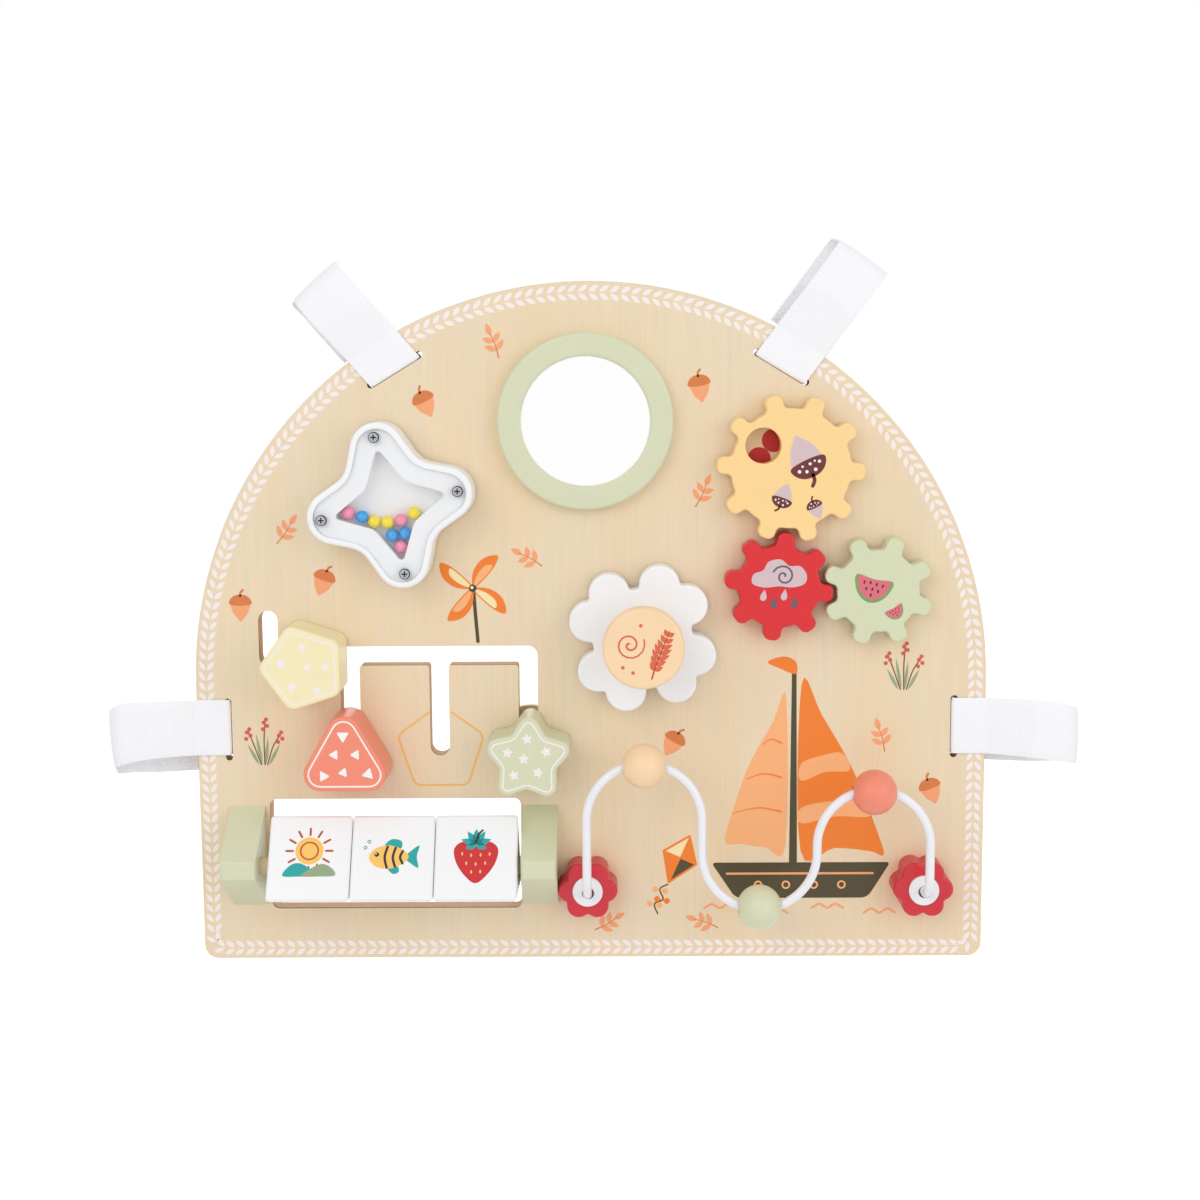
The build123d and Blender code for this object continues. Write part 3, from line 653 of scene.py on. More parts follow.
def stroke(line, width, tip=1.0):
    """A drawn line with round ends; the tip is its far end's width over its start's."""
    route = [Vector(point) for point in line]
    last = len(route) - 1
    left, right, caps = [], [], []
    for index, point in enumerate(route):
        along = (route[min(index + 1, last)] - route[max(index - 1, 0)]).normalized()
        half = width / 2 * (1 + (tip - 1) * index / last)
        aside = Vector((-along.y, along.x)) * half
        if index in (0, last):
            out, beside = (along * half, aside) if index else (-along * half, -aside)
            caps.append([point + way.normalized() * half
                         for way in (out - beside, out, out + beside)])
        left.append(point + aside)
        right.append(point - aside)
    return [tuple(point) for point in right + caps[1] + left[::-1] + caps[0]]


def star(points, tip_reach, tip_radius, notch_reach, notch_radius, turn):
    """A star with round tips and notches, one tip to the right before it is turned."""
    notch = Vector((notch_reach * cos(pi / points), notch_reach * sin(pi / points)))
    inward = tip_reach - tip_radius - notch.x
    flank = atan2(notch.y, inward) - asin(tip_radius / hypot(inward, notch.y))
    apex = notch.x + notch.y / tan(flank)
    corners = []
    for index in range(points):
        corners += placed([(apex, 0), tuple(notch)], turn=turn + index * 360 / points)
    return rounded(corners, [tip_radius, notch_radius] * points)


def regular(sides, reach, radius, turn):
    """A regular polygon by its corners' reach before they are rounded."""
    return rounded([spoke(reach, turn + index * 360 / sides) for index in range(sides)], radius)


def area_of(outline):
    return sum(a[0] * b[1] - b[0] * a[1] for a, b in zip(outline, outline[1:] + outline[:1])) / 2


def inset_line(outline, distance):
    """A closed outline moved to its left, into the material."""
    if not distance:
        return outline
    moved = []
    for index, point in enumerate(outline):
        before, after = Vector(outline[index - 1]), Vector(outline[(index + 1) % len(outline)])
        along = (after - before).normalized()
        moved.append((point[0] - along.y * distance, point[1] + along.x * distance))
    return moved


class Face:
    """A flat face, with axes to the right and up in millimetres, on which shapes are raised."""

    right = Vector((1, 0, 0))
    least_area = 1e-9

    def __init__(self, middle):
        self.mesh = bmesh.new()
        self.look(middle)

    def look(self, middle, up=(0, 0, 1)):
        """Later shapes are raised about this middle, with this way up."""
        self.middle = Vector(middle)
        self.up = Vector(up).normalized()
        self.out = self.right.cross(self.up)

    def vertex(self, point, height):
        place = self.right * point[0] + self.up * point[1] + self.out * height
        return self.mesh.verts.new(self.middle + place * MM)

    def raise_shape(self, loops, levels, material=0):
        """A closed solid: each level is a height and the loops' inset there, from the back."""
        loops = [loop if (area_of(loop) > 0) == (index == 0) else loop[::-1]
                 for index, loop in enumerate(loops)]
        rings = [[[self.vertex(point, height) for point in inset_line(loop, inset)]
                  for loop in loops] for height, inset in levels]
        flat = [[Vector((*point, 0)) for point in inset_line(loop, levels[-1][1])]
                for loop in loops]
        order = [point for loop in flat for point in loop]
        bottom, top = ([vertex for ring in rings[end] for vertex in ring] for end in (0, -1))
        faces = []
        for triangle in tessellate_polygon(flat):
            a, b, c = (order[index] for index in triangle)
            turned = (b - a).cross(c - a).z
            if abs(turned) > self.least_area:
                a, b, c = triangle if turned > 0 else triangle[::-1]
                faces += [self.mesh.faces.new((top[a], top[b], top[c])),
                          self.mesh.faces.new((bottom[c], bottom[b], bottom[a]))]
        for low, high in zip(rings, rings[1:]):
            for low_ring, high_ring in zip(low, high):
                faces += add_band(self.mesh, low_ring, high_ring)
        for face in faces:
            face.material_index = material


class Print(Face):
    """Inked shapes on one flat face; later layers lie over earlier ones."""

    sunk = 0.02
    layer_step = 0.6

    def __init__(self, middle):
        super().__init__(middle)
        self.inks = []
        self.place = ()

    def at(self, *place):
        """Later shapes are drawn at this place: to the right, up, turn and scale."""
        self.place = place
        return self

    def add(self, ink_name, *loops, layer=0):
        if ink_name not in self.inks:
            self.inks.append(ink_name)
        thickness = bpy.context.scene.busy_board_sizes.ink / MM
        levels = ((-self.sunk, 0), (thickness * (1 + layer * self.layer_step), 0))
        self.raise_shape([placed(loop, *self.place) for loop in loops], levels,
                         self.inks.index(ink_name))

    def blob(self, ink_name, *corners, layer=0, steps=6):
        """A smooth closed shape through the corners."""
        self.add(ink_name, smooth(corners, steps=steps), layer=layer)

    def line(self, ink_name, width, *corners, tip=1.0, layer=0):
        """A smooth drawn line through the corners."""
        self.add(ink_name, stroke(smooth(corners, False), width, tip), layer=layer)

    def dots(self, ink_name, *spots, count=10, layer=0):
        """Round or oval dots, each by its place and its reach across and up."""
        for spot in spots:
            self.add(ink_name, oval(*spot, count=count), layer=layer)

    def piece(self, name, body, slot):
        inks = [ink_material(ink_name) for ink_name in self.inks]
        new_piece(name, body, new_mesh(name, self.mesh, *inks))


def ink_material(name):
    made = bpy.data.materials.get("ink_" + name)
    return made or ink("ink_" + name, getattr(bpy.context.scene.busy_board_inks, name))


def print_piece(name, slot, drawings, node="base_board", body="board"):
    """A print on the front of a node, about its body's hinge or the board's own origin.

    Each drawing is a function, its place on the face and what else the function is given.
    """
    hinge = next((joint for joint in frame["joints"]
                  if joint["child"] == body and joint["type"] == "hinge"), None)
    x, _, z = hinge["pos_m"] if hinge else (0, 0, 0)
    page = Print((x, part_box(node)[0].y, z))
    for draw, place, *given in drawings:
        draw(page.at(*place), *given)
    page.piece(name, body, slot)


# Motifs, drawn about a print's present place

def draw_acorn(page, cap_ink, nut_ink, dot_ink=None):
    """An acorn hanging from its cap, about 14 mm long."""
    page.blob(nut_ink, *mirrored((-4.6, 0.5), (-4.2, -4.5), (-1.6, -8.2), (0, -9.8)))
    page.blob(cap_ink, *mirrored((-5.8, -0.4), (-5.2, 2.6), (-2.2, 4.6)), (0, -1.2), layer=1)
    page.line(cap_ink, 1.2, (0, 4.2), (0.3, 6.0), (1.6, 7.4), layer=1)
    if dot_ink:
        page.dots(dot_ink, (-3.7, 1.0, 0.55), (-1.5, 2.9, 0.6), (-0.6, 0.5, 0.5),
                  (1.4, 2.4, 0.55), (3.6, 1.4, 0.6), (2.0, 0.3, 0.4), (-2.4, 0.2, 0.35), layer=2)


def draw_twig(page):
    """A twig of two pairs of small leaves with one at its tip."""
    page.line("vein", 0.6, (0, -6), (0.5, 0), (0, 6.5), tip=0.5, layer=1)
    for up, size in ((-2.5, 6.2), (1.5, 5.5)):
        for turn in (142, 38):
            page.add("leaf", leaf(0.2, up, size, 2.7, turn, 0.85))
    page.add("leaf", leaf(0, 4.8, 6.0, 2.9, 90, 0.85))


def draw_tuft(page):
    """Grass blades with three seed heads."""
    for foot, lean, length in ((-2.4, 118, 11), (-1.0, 100, 15), (0.6, 84, 13), (2.2, 62, 11)):
        page.add("grass", leaf(foot, -9, length, 1.5, lean, 0.8))
    for foot, x, y in ((-1.4, -7.0, 6.5), (0.2, 0.8, 11.0), (1.4, 7.6, 5.0)):
        bend = ((foot + x) / 2 - 0.4, (-9 + y) / 2 + 1.4)
        page.line("twig", 0.55, (foot, -9), bend, (x, y), layer=1)
        page.dots("berry", *((x + (1.1 if index % 2 else -1.1) * (1 - index / 5),
                              y - 3.4 + index * 1.5, 0.95) for index in range(4)), layer=2)


def draw_boat(page):
    """A sailing boat, 92 mm wide and 150 mm high, with its mast's foot at the place."""
    page.add("dark", stroke([(0, 3), (0, 60), (0, 120)], 4.6, 0.55))
    page.blob("orange", (4.2, 108), (16, 90), (34, 58), (49, 20), (52, 8), (44, 10.5), (24, 12.5),
              (4.2, 11), steps=5)
    page.blob("apricot", (4.4, 62), (16, 66.5), (27.5, 68), (32, 58), (18, 57), (4.4, 52), layer=1)
    page.blob("apricot", (4.4, 36), (22, 40), (40.5, 40), (43.6, 31), (24, 31), (4.4, 27), layer=1)
    page.blob("apricot", (-4.4, 100), (-12, 86), (-26, 60), (-36, 30), (-39, 16), (-30, 15),
              (-16, 13), (-4.4, 14), steps=5)
    for up, reach in ((74, 13), (54, 22), (34, 30)):
        page.line("orange", 1.1, (-7, up), (-7 - reach * 0.45, up + 2.2), (-5 - reach, up - 1),
                  tip=0.4, layer=1)
    hull = [(-47, 4), (56, 4), (43, -17), (-33, -17)]
    page.add("dark", rounded(hull, [1.2, 1.2, 7, 7]), layer=1)
    page.add("leaf", stroke([(-38, -2.5), (0, -2.5), (46, -2.5)], 1.3), layer=2)
    for x in (-20, -4, 12, 28):
        page.add("apricot", oval(x, -9.2, 2.5), oval(x, -9.2, 1.5), layer=2)
    page.blob("orange", (0.8, 121), (-6, 124), (-15, 121), (-9, 117.5), (0.8, 114), layer=1)
    for x, up in ((-42, -23), (-12, -26), (20, -23), (50, -26)):
        page.line("leaf", 1.3, (x - 9, up), (x - 4.5, up + 2.4), (x, up), (x + 4.5, up + 2.4),
                  (x + 9, up))


def draw_pinwheel(page):
    """A paper windmill on a stick, about 48 mm high."""
    blade = smooth([(0, 0), (5.5, 2.2), (14, 8.2), (17.5, 13.8), (9.5, 14.2), (2.6, 8.8)], steps=4)
    fold = smooth([(0.8, 0.9), (5.6, 3.0), (13.4, 8.8), (9.6, 10.2), (4.0, 6.2)], steps=4)
    page.add("dark", stroke([(0.3, 1), (1.2, -14), (2.4, -29)], 1.9))
    for turn, fold_ink in zip(range(14, 360, 90), ("apricot", "cream_ink") * 2):
        page.add("orange", placed(blade, turn=turn), layer=1)
        page.add(fold_ink, placed(fold, turn=turn), layer=2)
    page.add("dark", oval(0, 0, 2.1), layer=3)
    page.add("plain_white", oval(-0.4, 0.4, 0.8, count=12), layer=4)


def draw_kite(page):
    """A kite with a bowed tail, about 42 mm long."""
    page.add("orange", rounded([(0, 15), (9.5, 2), (0, -13), (-9.5, 2)], 0.8))
    page.add("cream_ink", [(0, 13.2), (0, 2.3), (-7.9, 2.3)], layer=1)
    page.add("dark", [(0.5, 1.6), (8.0, 1.6), (0.5, -10.2)], layer=1)
    page.line("dark", 0.7, (0, -13), (-2.6, -17), (1.0, -21), (-2.0, -25), (1.6, -29))
    for x, y, bow in ((-2.2, -17.4, "apricot"), (0.6, -21.6, "orange"), (-1.8, -25.2, "apricot")):
        for turn in (12, 192):
            page.add(bow, leaf(x, y, 4.2, 3.2, turn, 1.5), layer=1)


def draw_melon(page):
    """A slice of melon, 15 mm wide."""
    page.blob("rind", *mirrored((-8.2, 3.2), (-7.6, -2.2), (-4.4, -6.4), (0, -8.0)), (0, 2.6))
    page.blob("pink", *mirrored((-7.0, 3.0), (-6.3, -1.8), (-3.6, -5.2), (0, -6.5)), (0, 2.4),
              layer=1)
    seeds = ((-4.2, 0.4), (-1.5, 0.8), (1.4, 0.6), (4.2, 0.5), (-2.7, -2.2), (0, -1.9),
             (2.7, -2.3), (0, -4.6))
    page.dots("black", *((*seed, 0.45, 0.85) for seed in seeds), layer=2)


def spiral(x, y, start, growth, turn, step, count):
    """Points of a spiral that grows by so much for each radian."""
    return [(x + (start + a * growth) * cos(a + turn), y + (start + a * growth) * sin(a + turn))
            for a in (k * step for k in range(count))]


def draw_cloud(page):
    """A rain cloud, 26 mm wide."""
    page.blob("dust", (-12.6, 0.5), (-12.0, 4.8), (-7.6, 6.6), (-5.0, 10.6), (0.6, 11.6),
              (4.6, 8.6), (9.6, 8.4), (12.6, 4.4), (11.6, 0.2), (6.0, -1.4), (0, -0.9),
              (-7.0, -1.4))
    page.add("slate", stroke(spiral(2.0, 3.8, 0.6, 0.52, 0, 0.45, 21), 0.9), layer=1)
    for x, y, drop_ink in ((-7.8, -7.8, "dust"), (-3.0, -11.4, "slate"), (1.8, -7.6, "dust"),
                           (6.6, -11.2, "slate")):
        page.add(drop_ink, leaf(x, y, 5.6, 3.0, 80, 0.6), layer=1)


def draw_feather(page):
    """A feather beside a spiral, 32 mm across."""
    shaft = smooth([(3.5, -14.5), (5.4, -8), (8.6, 0), (12.0, 8.4)], False)
    page.add("brown", stroke(shaft, 0.8, 0.6), layer=1)
    for index, (x, y) in enumerate(shaft[4:18:2]):
        for turn in (114, 22):
            page.add("rust", leaf(x, y, 6.6 - abs(index - 2.4) * 0.8, 2.5, turn, 0.8))
    page.add("rust", stroke(spiral(-7.2, 2.0, 0.7, 0.62, 2, 0.42, 27), 1.1, 0.7))
    page.dots("rust", (-10.5, -9.0, 0.9), (-5.6, -11.6, 0.9), (-1.8, 11.4, 0.9), count=12)


def draw_sun(page):
    """The sun over hills, 26 mm high."""
    for turn in range(0, 360, 30):
        page.add("brown", stroke(placed([(8.4, 0), (11.8, 0)], 0, 3.5, turn), 1.1))
    page.add("sun", oval(0, 3.5, 7.2))
    page.add("brown", oval(0, 3.5, 4.9), oval(0, 3.5, 4.1), layer=1)
    page.blob("teal", (-13, -9.5), (-9.5, -4.2), (-4.5, -3.0), (1.5, -6.4), (2.5, -9.5),
              (-5, -9.9), layer=1)
    page.blob("grass", (-3.5, -9.6), (1.5, -5.6), (7.0, -3.4), (11.8, -5.6), (13.6, -9.4),
              (5, -9.9), layer=2)


def draw_fish(page):
    """A striped fish, 26 mm long."""
    page.blob("teal", (6.4, 0), (9.6, 3.4), (13.8, 6.2), (12.6, 0.4), (13.6, -5.6), (9.4, -3.2),
              steps=4)
    page.blob("teal", (-4.6, 5.0), (-1.0, 9.6), (4.4, 8.6), (3.8, 4.4), steps=4)
    page.blob("teal", (-2.6, -5.2), (0.4, -8.8), (3.6, -7.8), (2.6, -4.6), steps=4)
    page.blob("sun", (-12.2, 0), (-9.0, 4.6), (-2.5, 6.4), (4.4, 4.4), (8.4, 0.3), (4.4, -4.2),
              (-2.5, -6.2), (-9.0, -4.6), layer=1)
    for x, reach in ((-3.6, 5.6), (0.6, 5.0), (4.4, 3.3)):
        page.line("black", 1.3, (x + 0.9, reach), (x - 0.4, 0), (x + 0.9, -reach), layer=2)
    page.dots("black", (-8.2, 1.5, 1.25), count=14, layer=2)
    page.dots("plain_white", (-8.6, 1.9, 0.42), layer=3)
    for x, y in ((-14.2, 5.2), (-12.4, 8.4)):
        page.add("teal", oval(x, y, 1.0, count=12), oval(x, y, 0.5, count=12))


def draw_strawberry(page):
    """A strawberry with its leaves, 25 mm high."""
    page.blob("strawberry", (0, 5.6), *mirrored((6.0, 7.4), (10.2, 4.0), (9.2, -2.6), (5.0, -9.0),
                                                (0, -12.6)))
    for x, y in ((-6.4, 2.5), (-2.2, 1.7), (2.2, 1.9), (6.4, 2.3), (-4.4, -2.1), (0, -2.5),
                 (4.4, -2.1), (-2.0, -6.3), (2.2, -6.1)):
        page.add("sun", leaf(x, y, 1.9, 0.95, -90, count=5), layer=1)
    for turn in (18, 56, 90, 124, 162, 205, -25):
        page.add("teal", leaf(0, 6.2, 7.4 if 0 < turn < 180 else 5.4, 3.2, turn, 0.8), layer=1)
    page.line("black", 1.1, (0, 7.0), (0.8, 10.6), (3.0, 13.0), tip=0.7, layer=2)


def draw_home(page):
    """The outline of the pentagon's home, open where the slot of the track goes through it."""
    reach, corner_radius, slot_side = 26.0, 5, 6.4
    apex, left, foot_left, foot_right, right = (spoke(reach, 90 + 72 * k) for k in range(5))
    slot_up = apex[1] - (apex[1] - left[1]) / -left[0] * slot_side
    corners = [(-slot_side, slot_up), left, foot_left, foot_right, right, (slot_side, slot_up)]
    page.add("home", stroke(rounded(corners, corner_radius, closed=False), 1.2))


def draw_marks(page, ink_name, rim, marks):
    """An outline that follows the edge of a shape, and marks inside it."""
    page.add(ink_name, *rim)
    for mark in marks:
        page.add(ink_name, mark)


# Prints

class BUSYBOARD_OT_border(bpy.types.Operator):
    """Print the chain of leaf pairs round the edge of the board"""
    bl_idname = "busyboard.border"
    bl_label = "Print Border"

    corner_radius = 7
    stalk_side = 0.5
    stalk_lean = 35

    def execute(self, context):
        sizes = context.scene.busy_board_sizes
        inset = sizes.border_inset / MM
        reach = board_width / 2 - inset
        arch = [spoke(reach, turn, 0, side_height) for turn in range(0, 181, 2)]
        foot = rounded([(-reach, side_height), (-reach, inset), (reach, inset),
                        (reach, side_height)], self.corner_radius, closed=False)
        path = line_mesh("border_path", [(x * MM, front_y, z * MM) for x, z in arch + foot[1:-1]])
        grown = grow("print_border", self.leaf_chain(), path, {
            "Pitch": sizes.leaf_pitch, "Leaf length": sizes.leaf_length,
            "Leaf width": sizes.leaf_width, "Ink": sizes.ink,
            "Material": ink_material("leaf_white")})
        new_piece("print_border", "board", grown)
        return {"FINISHED"}

    def leaf_chain(self):
        """Pairs of pointed leaves along a path, their stalks meeting at its leading side."""
        tree = Growth("leaf_chain", "Pitch", "Leaf length", "Leaf width", "Ink")
        disc = tree.node("GeometryNodeMeshCylinder", {"Vertices": 12, "Radius": 1.0, "Depth": 1.0},
                         fill_type="NGON")
        x, y, z = tree.axes(tree.node("GeometryNodeInputPosition"))
        shaped = tree.node("ShaderNodeCombineXYZ", {
            0: (x - 1) * 0.5 * tree.given("Leaf length"),
            1: y * y.math("ABSOLUTE") * tree.given("Leaf width") * 0.5,
            2: z * tree.given("Ink")})
        one = tree.node("GeometryNodeSetPosition", {"Geometry": disc, "Position": shaped})
        pair = tree.node("GeometryNodeJoinGeometry")
        for side in (-1, 1):
            half = tree.node("GeometryNodeTransform", {
                "Geometry": one, "Translation": (0.0, side * self.stalk_side * MM, 0.0),
                "Rotation": (0.0, 0.0, -side * radians(self.stalk_lean))})
            tree.tree.links.new(half.socket, pair.socket.node.inputs[0])
        return tree.along_path(pair, (0.0, -1.0, 0.0))


class BUSYBOARD_OT_board_prints(bpy.types.Operator):
    """Print the pictures on the front of the board, and painted shade in the washers' holes round the wires"""
    bl_idname = "busyboard.board_prints"
    bl_label = "Print Board"

    # Places on the board with a turn
    twigs = ((-52, 352, 20), (-172, 248, -35), (-33, 232, 60), (63, 268, -25), (28, 112, 10),
             (8, 20, -60), (166, 128, 15), (66, 20, 70))
    acorns = ((-92, 322, 25), (-150, 222, -20), (62, 330, 10), (-198, 208, 0), (48, 128, -30),
              (194, 100, 20))
    tufts = ((-187, 126, 0), (178, 168, 0))

    # Behind the large gear: the reach from its middle and the turn
    spots = ((17.5, 120), (17.5, 164), (19, 215), (17, 262), (19, 312), (17, 8), (19, 60))
    spot_radius = 6.6

    # Painted shade in the washers' holes: a dark ring round the wire, shifted so that more of it shows on the side
    # where the shadow falls
    wire_radius = 2.55
    hole_shade_radius = 3.45
    hole_shade_shift = (0.2, -0.8)

    def execute(self, context):
        print_piece("print_sprigs", "board_wood", [
            *((draw_twig, (*place, 1.2)) for place in self.twigs),
            *((draw_acorn, (*place, 1.05), "vein", "leaf") for place in self.acorns),
            *((draw_tuft, (*place, 1.25)) for place in self.tufts)])
        print_piece("print_boat", "board_wood", [(draw_boat, (116, 52))])
        print_piece("print_pinwheel", "board_wood", [(draw_pinwheel, (-66, 216, 0, 1.05))])
        print_piece("print_kite", "board_wood", [(draw_kite, (50, 57, -24, 1.15))])

        gear_x, _, gear_up = (value / MM for value in joints["gear_yellow_spin"]["pos_m"])
        dot = (0, 0, self.spot_radius)
        print_piece("print_spots", "board_wood", [
            (lambda page: page.dots("deep_red", dot, count=24), spoke(*spot, gear_x, gear_up))
            for spot in self.spots])

        low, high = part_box("maze_washers")
        radius, up = (high.z - low.z) / 2, (low.z + high.z) / 2
        hole_shade = oval(*self.hole_shade_shift, self.hole_shade_radius, count=32)
        wire = oval(0, 0, self.wire_radius, count=32)
        # Painted shade: a dark ink ring round each wire stands for the shaded inside of the washer's hole
        print_piece("print_washer_holes", "white_washer", [
            (lambda page: page.add("dark", hole_shade, wire), (x / MM, up / MM))
            for x in (low.x + radius, high.x - radius)], "maze_washers")

        print_piece("print_home", "board_wood", [(draw_home, (-85.6, 123.5))])
        return {"FINISHED"}


class BUSYBOARD_OT_gear_prints(bpy.types.Operator):
    """Print the gears and the flower's knob"""
    bl_idname = "busyboard.gear_prints"
    bl_label = "Print Gears and Knob"

    acorns = ((9, 3, 205, 1.7), (-5, -17, 160, 0.95), (13, -21, 25, 0.75))
    melons = ((-3, 3.5, -14, 1.25), (9, -11, 30, 0.62))

    def execute(self, context):
        acorns = [(draw_acorn, place, "maroon", "dust", "plain_white") for place in self.acorns]
        melons = [(draw_melon, place) for place in self.melons]
        cloud = [(draw_cloud, (0, 1.5, 0, 1.2))]
        feather = [(draw_feather, (0.5, 0, 0, 1.12))]
        print_piece("print_gear_yellow", "yellow_paint", acorns, "gear_yellow", "gear_yellow")
        print_piece("print_gear_red", "red_paint", cloud, "gear_red", "gear_red")
        print_piece("print_gear_green", "pale_green_paint", melons, "gear_green", "gear_green")
        print_piece("print_knob", "peach_paint", feather, "flower_knob", "flower")
        return {"FINISHED"}


class BUSYBOARD_OT_slider_prints(bpy.types.Operator):
    """Print the white outlines and patterns on the sliding shapes"""
    bl_idname = "busyboard.slider_prints"
    bl_label = "Print Sliding Shapes"

    # Across, up and reach; the small triangles and stars are also turned
    dots = ((-0.3, 11.9, 2.0), (-11.8, 2.9, 2.5), (2.6, 0.6, 1.8), (12.4, 1.0, 2.1),
            (-6.3, -10.5, 2.4), (7.8, -12.4, 2.0))
    triangles = ((-0.5, 14.2, 4.1, -90), (-5.4, 3.6, 3.4, 180), (6.5, 3.6, 3.5, 180),
                 (-11.8, -8.5, 3.7, 0), (-0.6, -6.5, 3.3, 188), (13.2, -7.4, 3.9, 74))
    stars = ((-0.3, 12.0, 10), (-11.3, 4.3, -8), (10.2, 4.7, 20), (-2.3, 0.7, 0),
             (-7.9, -8.5, 14), (5.5, -7.1, -12))

    # The blocks' own outlines, and how far inside them the two lines of a rim lie
    pentagon_reach, pentagon_radius, pentagon_rim = 25.4, 6.0, (2.6, 3.5)
    triangle_middle, triangle_radius = 15.7, 9.5
    star_reach, star_radius, hollow_reach, hollow_radius, star_turn = 24, 5.8, 16.6, 4, 88
    rim = (2.4, 3.3)

    def execute(self, context):
        self.print_block("pentagon", "cream_paint", "leaf_white", [
            regular(5, self.pentagon_reach - inset / cos(pi / 5), self.pentagon_radius - inset,
                    180)
            for inset in self.pentagon_rim],
            [oval(*dot) for dot in self.dots])
        radii = [self.triangle_radius - inset for inset in self.rim]
        self.print_block("triangle", "coral_paint", "plain_white", [
            regular(3, self.triangle_middle + 2 * radius, radius, 90) for radius in radii],
            [placed(regular(3, reach, 0.5, turn), x, y) for x, y, reach, turn in self.triangles])
        self.print_block("star", "pale_green_paint", "leaf_white", [
            star(5, self.star_reach - inset, self.star_radius - inset,
                 self.hollow_reach - inset, self.hollow_radius + inset, self.star_turn)
            for inset in self.rim],
            [placed(star(5, 3.0, 0.35, 1.65, 0.2, 90), *place) for place in self.stars])
        return {"FINISHED"}

    def print_block(self, name, slot, ink_name, rim, marks):
        print_piece("print_" + name, slot, [(draw_marks, (0, 0), ink_name, rim, marks)],
                    name + "_slider_block", name + "_slider")


class BUSYBOARD_OT_drum_prints(bpy.types.Operator):
    """Print one picture on each side of the turning blocks"""
    bl_idname = "busyboard.drum_prints"
    bl_label = "Print Picture Blocks"

    pictures = ((draw_sun, 1.1), (draw_fish, 1.08), (draw_strawberry, 1.2))
    lean = radians(32)

    def execute(self, context):
        for first, name in enumerate(("left", "middle", "right")):
            block = "drum_block_" + name
            low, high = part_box(block)
            pivot = Vector(joints[f"drum_{name}_spin"]["pos_m"])
            pivot.x = (low.x + high.x) / 2
            corners = [vertex.co - pivot for vertex in frame["nodes"][block].data.vertices]
            page = Print(pivot)
            for turn in range(3):
                angle = self.lean + turn * 2 * pi / 3
                out = Vector((0, -cos(angle), sin(angle)))
                reach = max(corner.dot(out) for corner in corners)
                page.look(pivot + out * reach, (0, sin(angle), cos(angle)))
                draw_picture, scale = self.pictures[(first + turn) % 3]
                draw_picture(page.at(0, 0, 0, scale))
            page.piece("print_drum_" + name, "drum_" + name, "picture_paint")
        return {"FINISHED"}


# Webbing loops

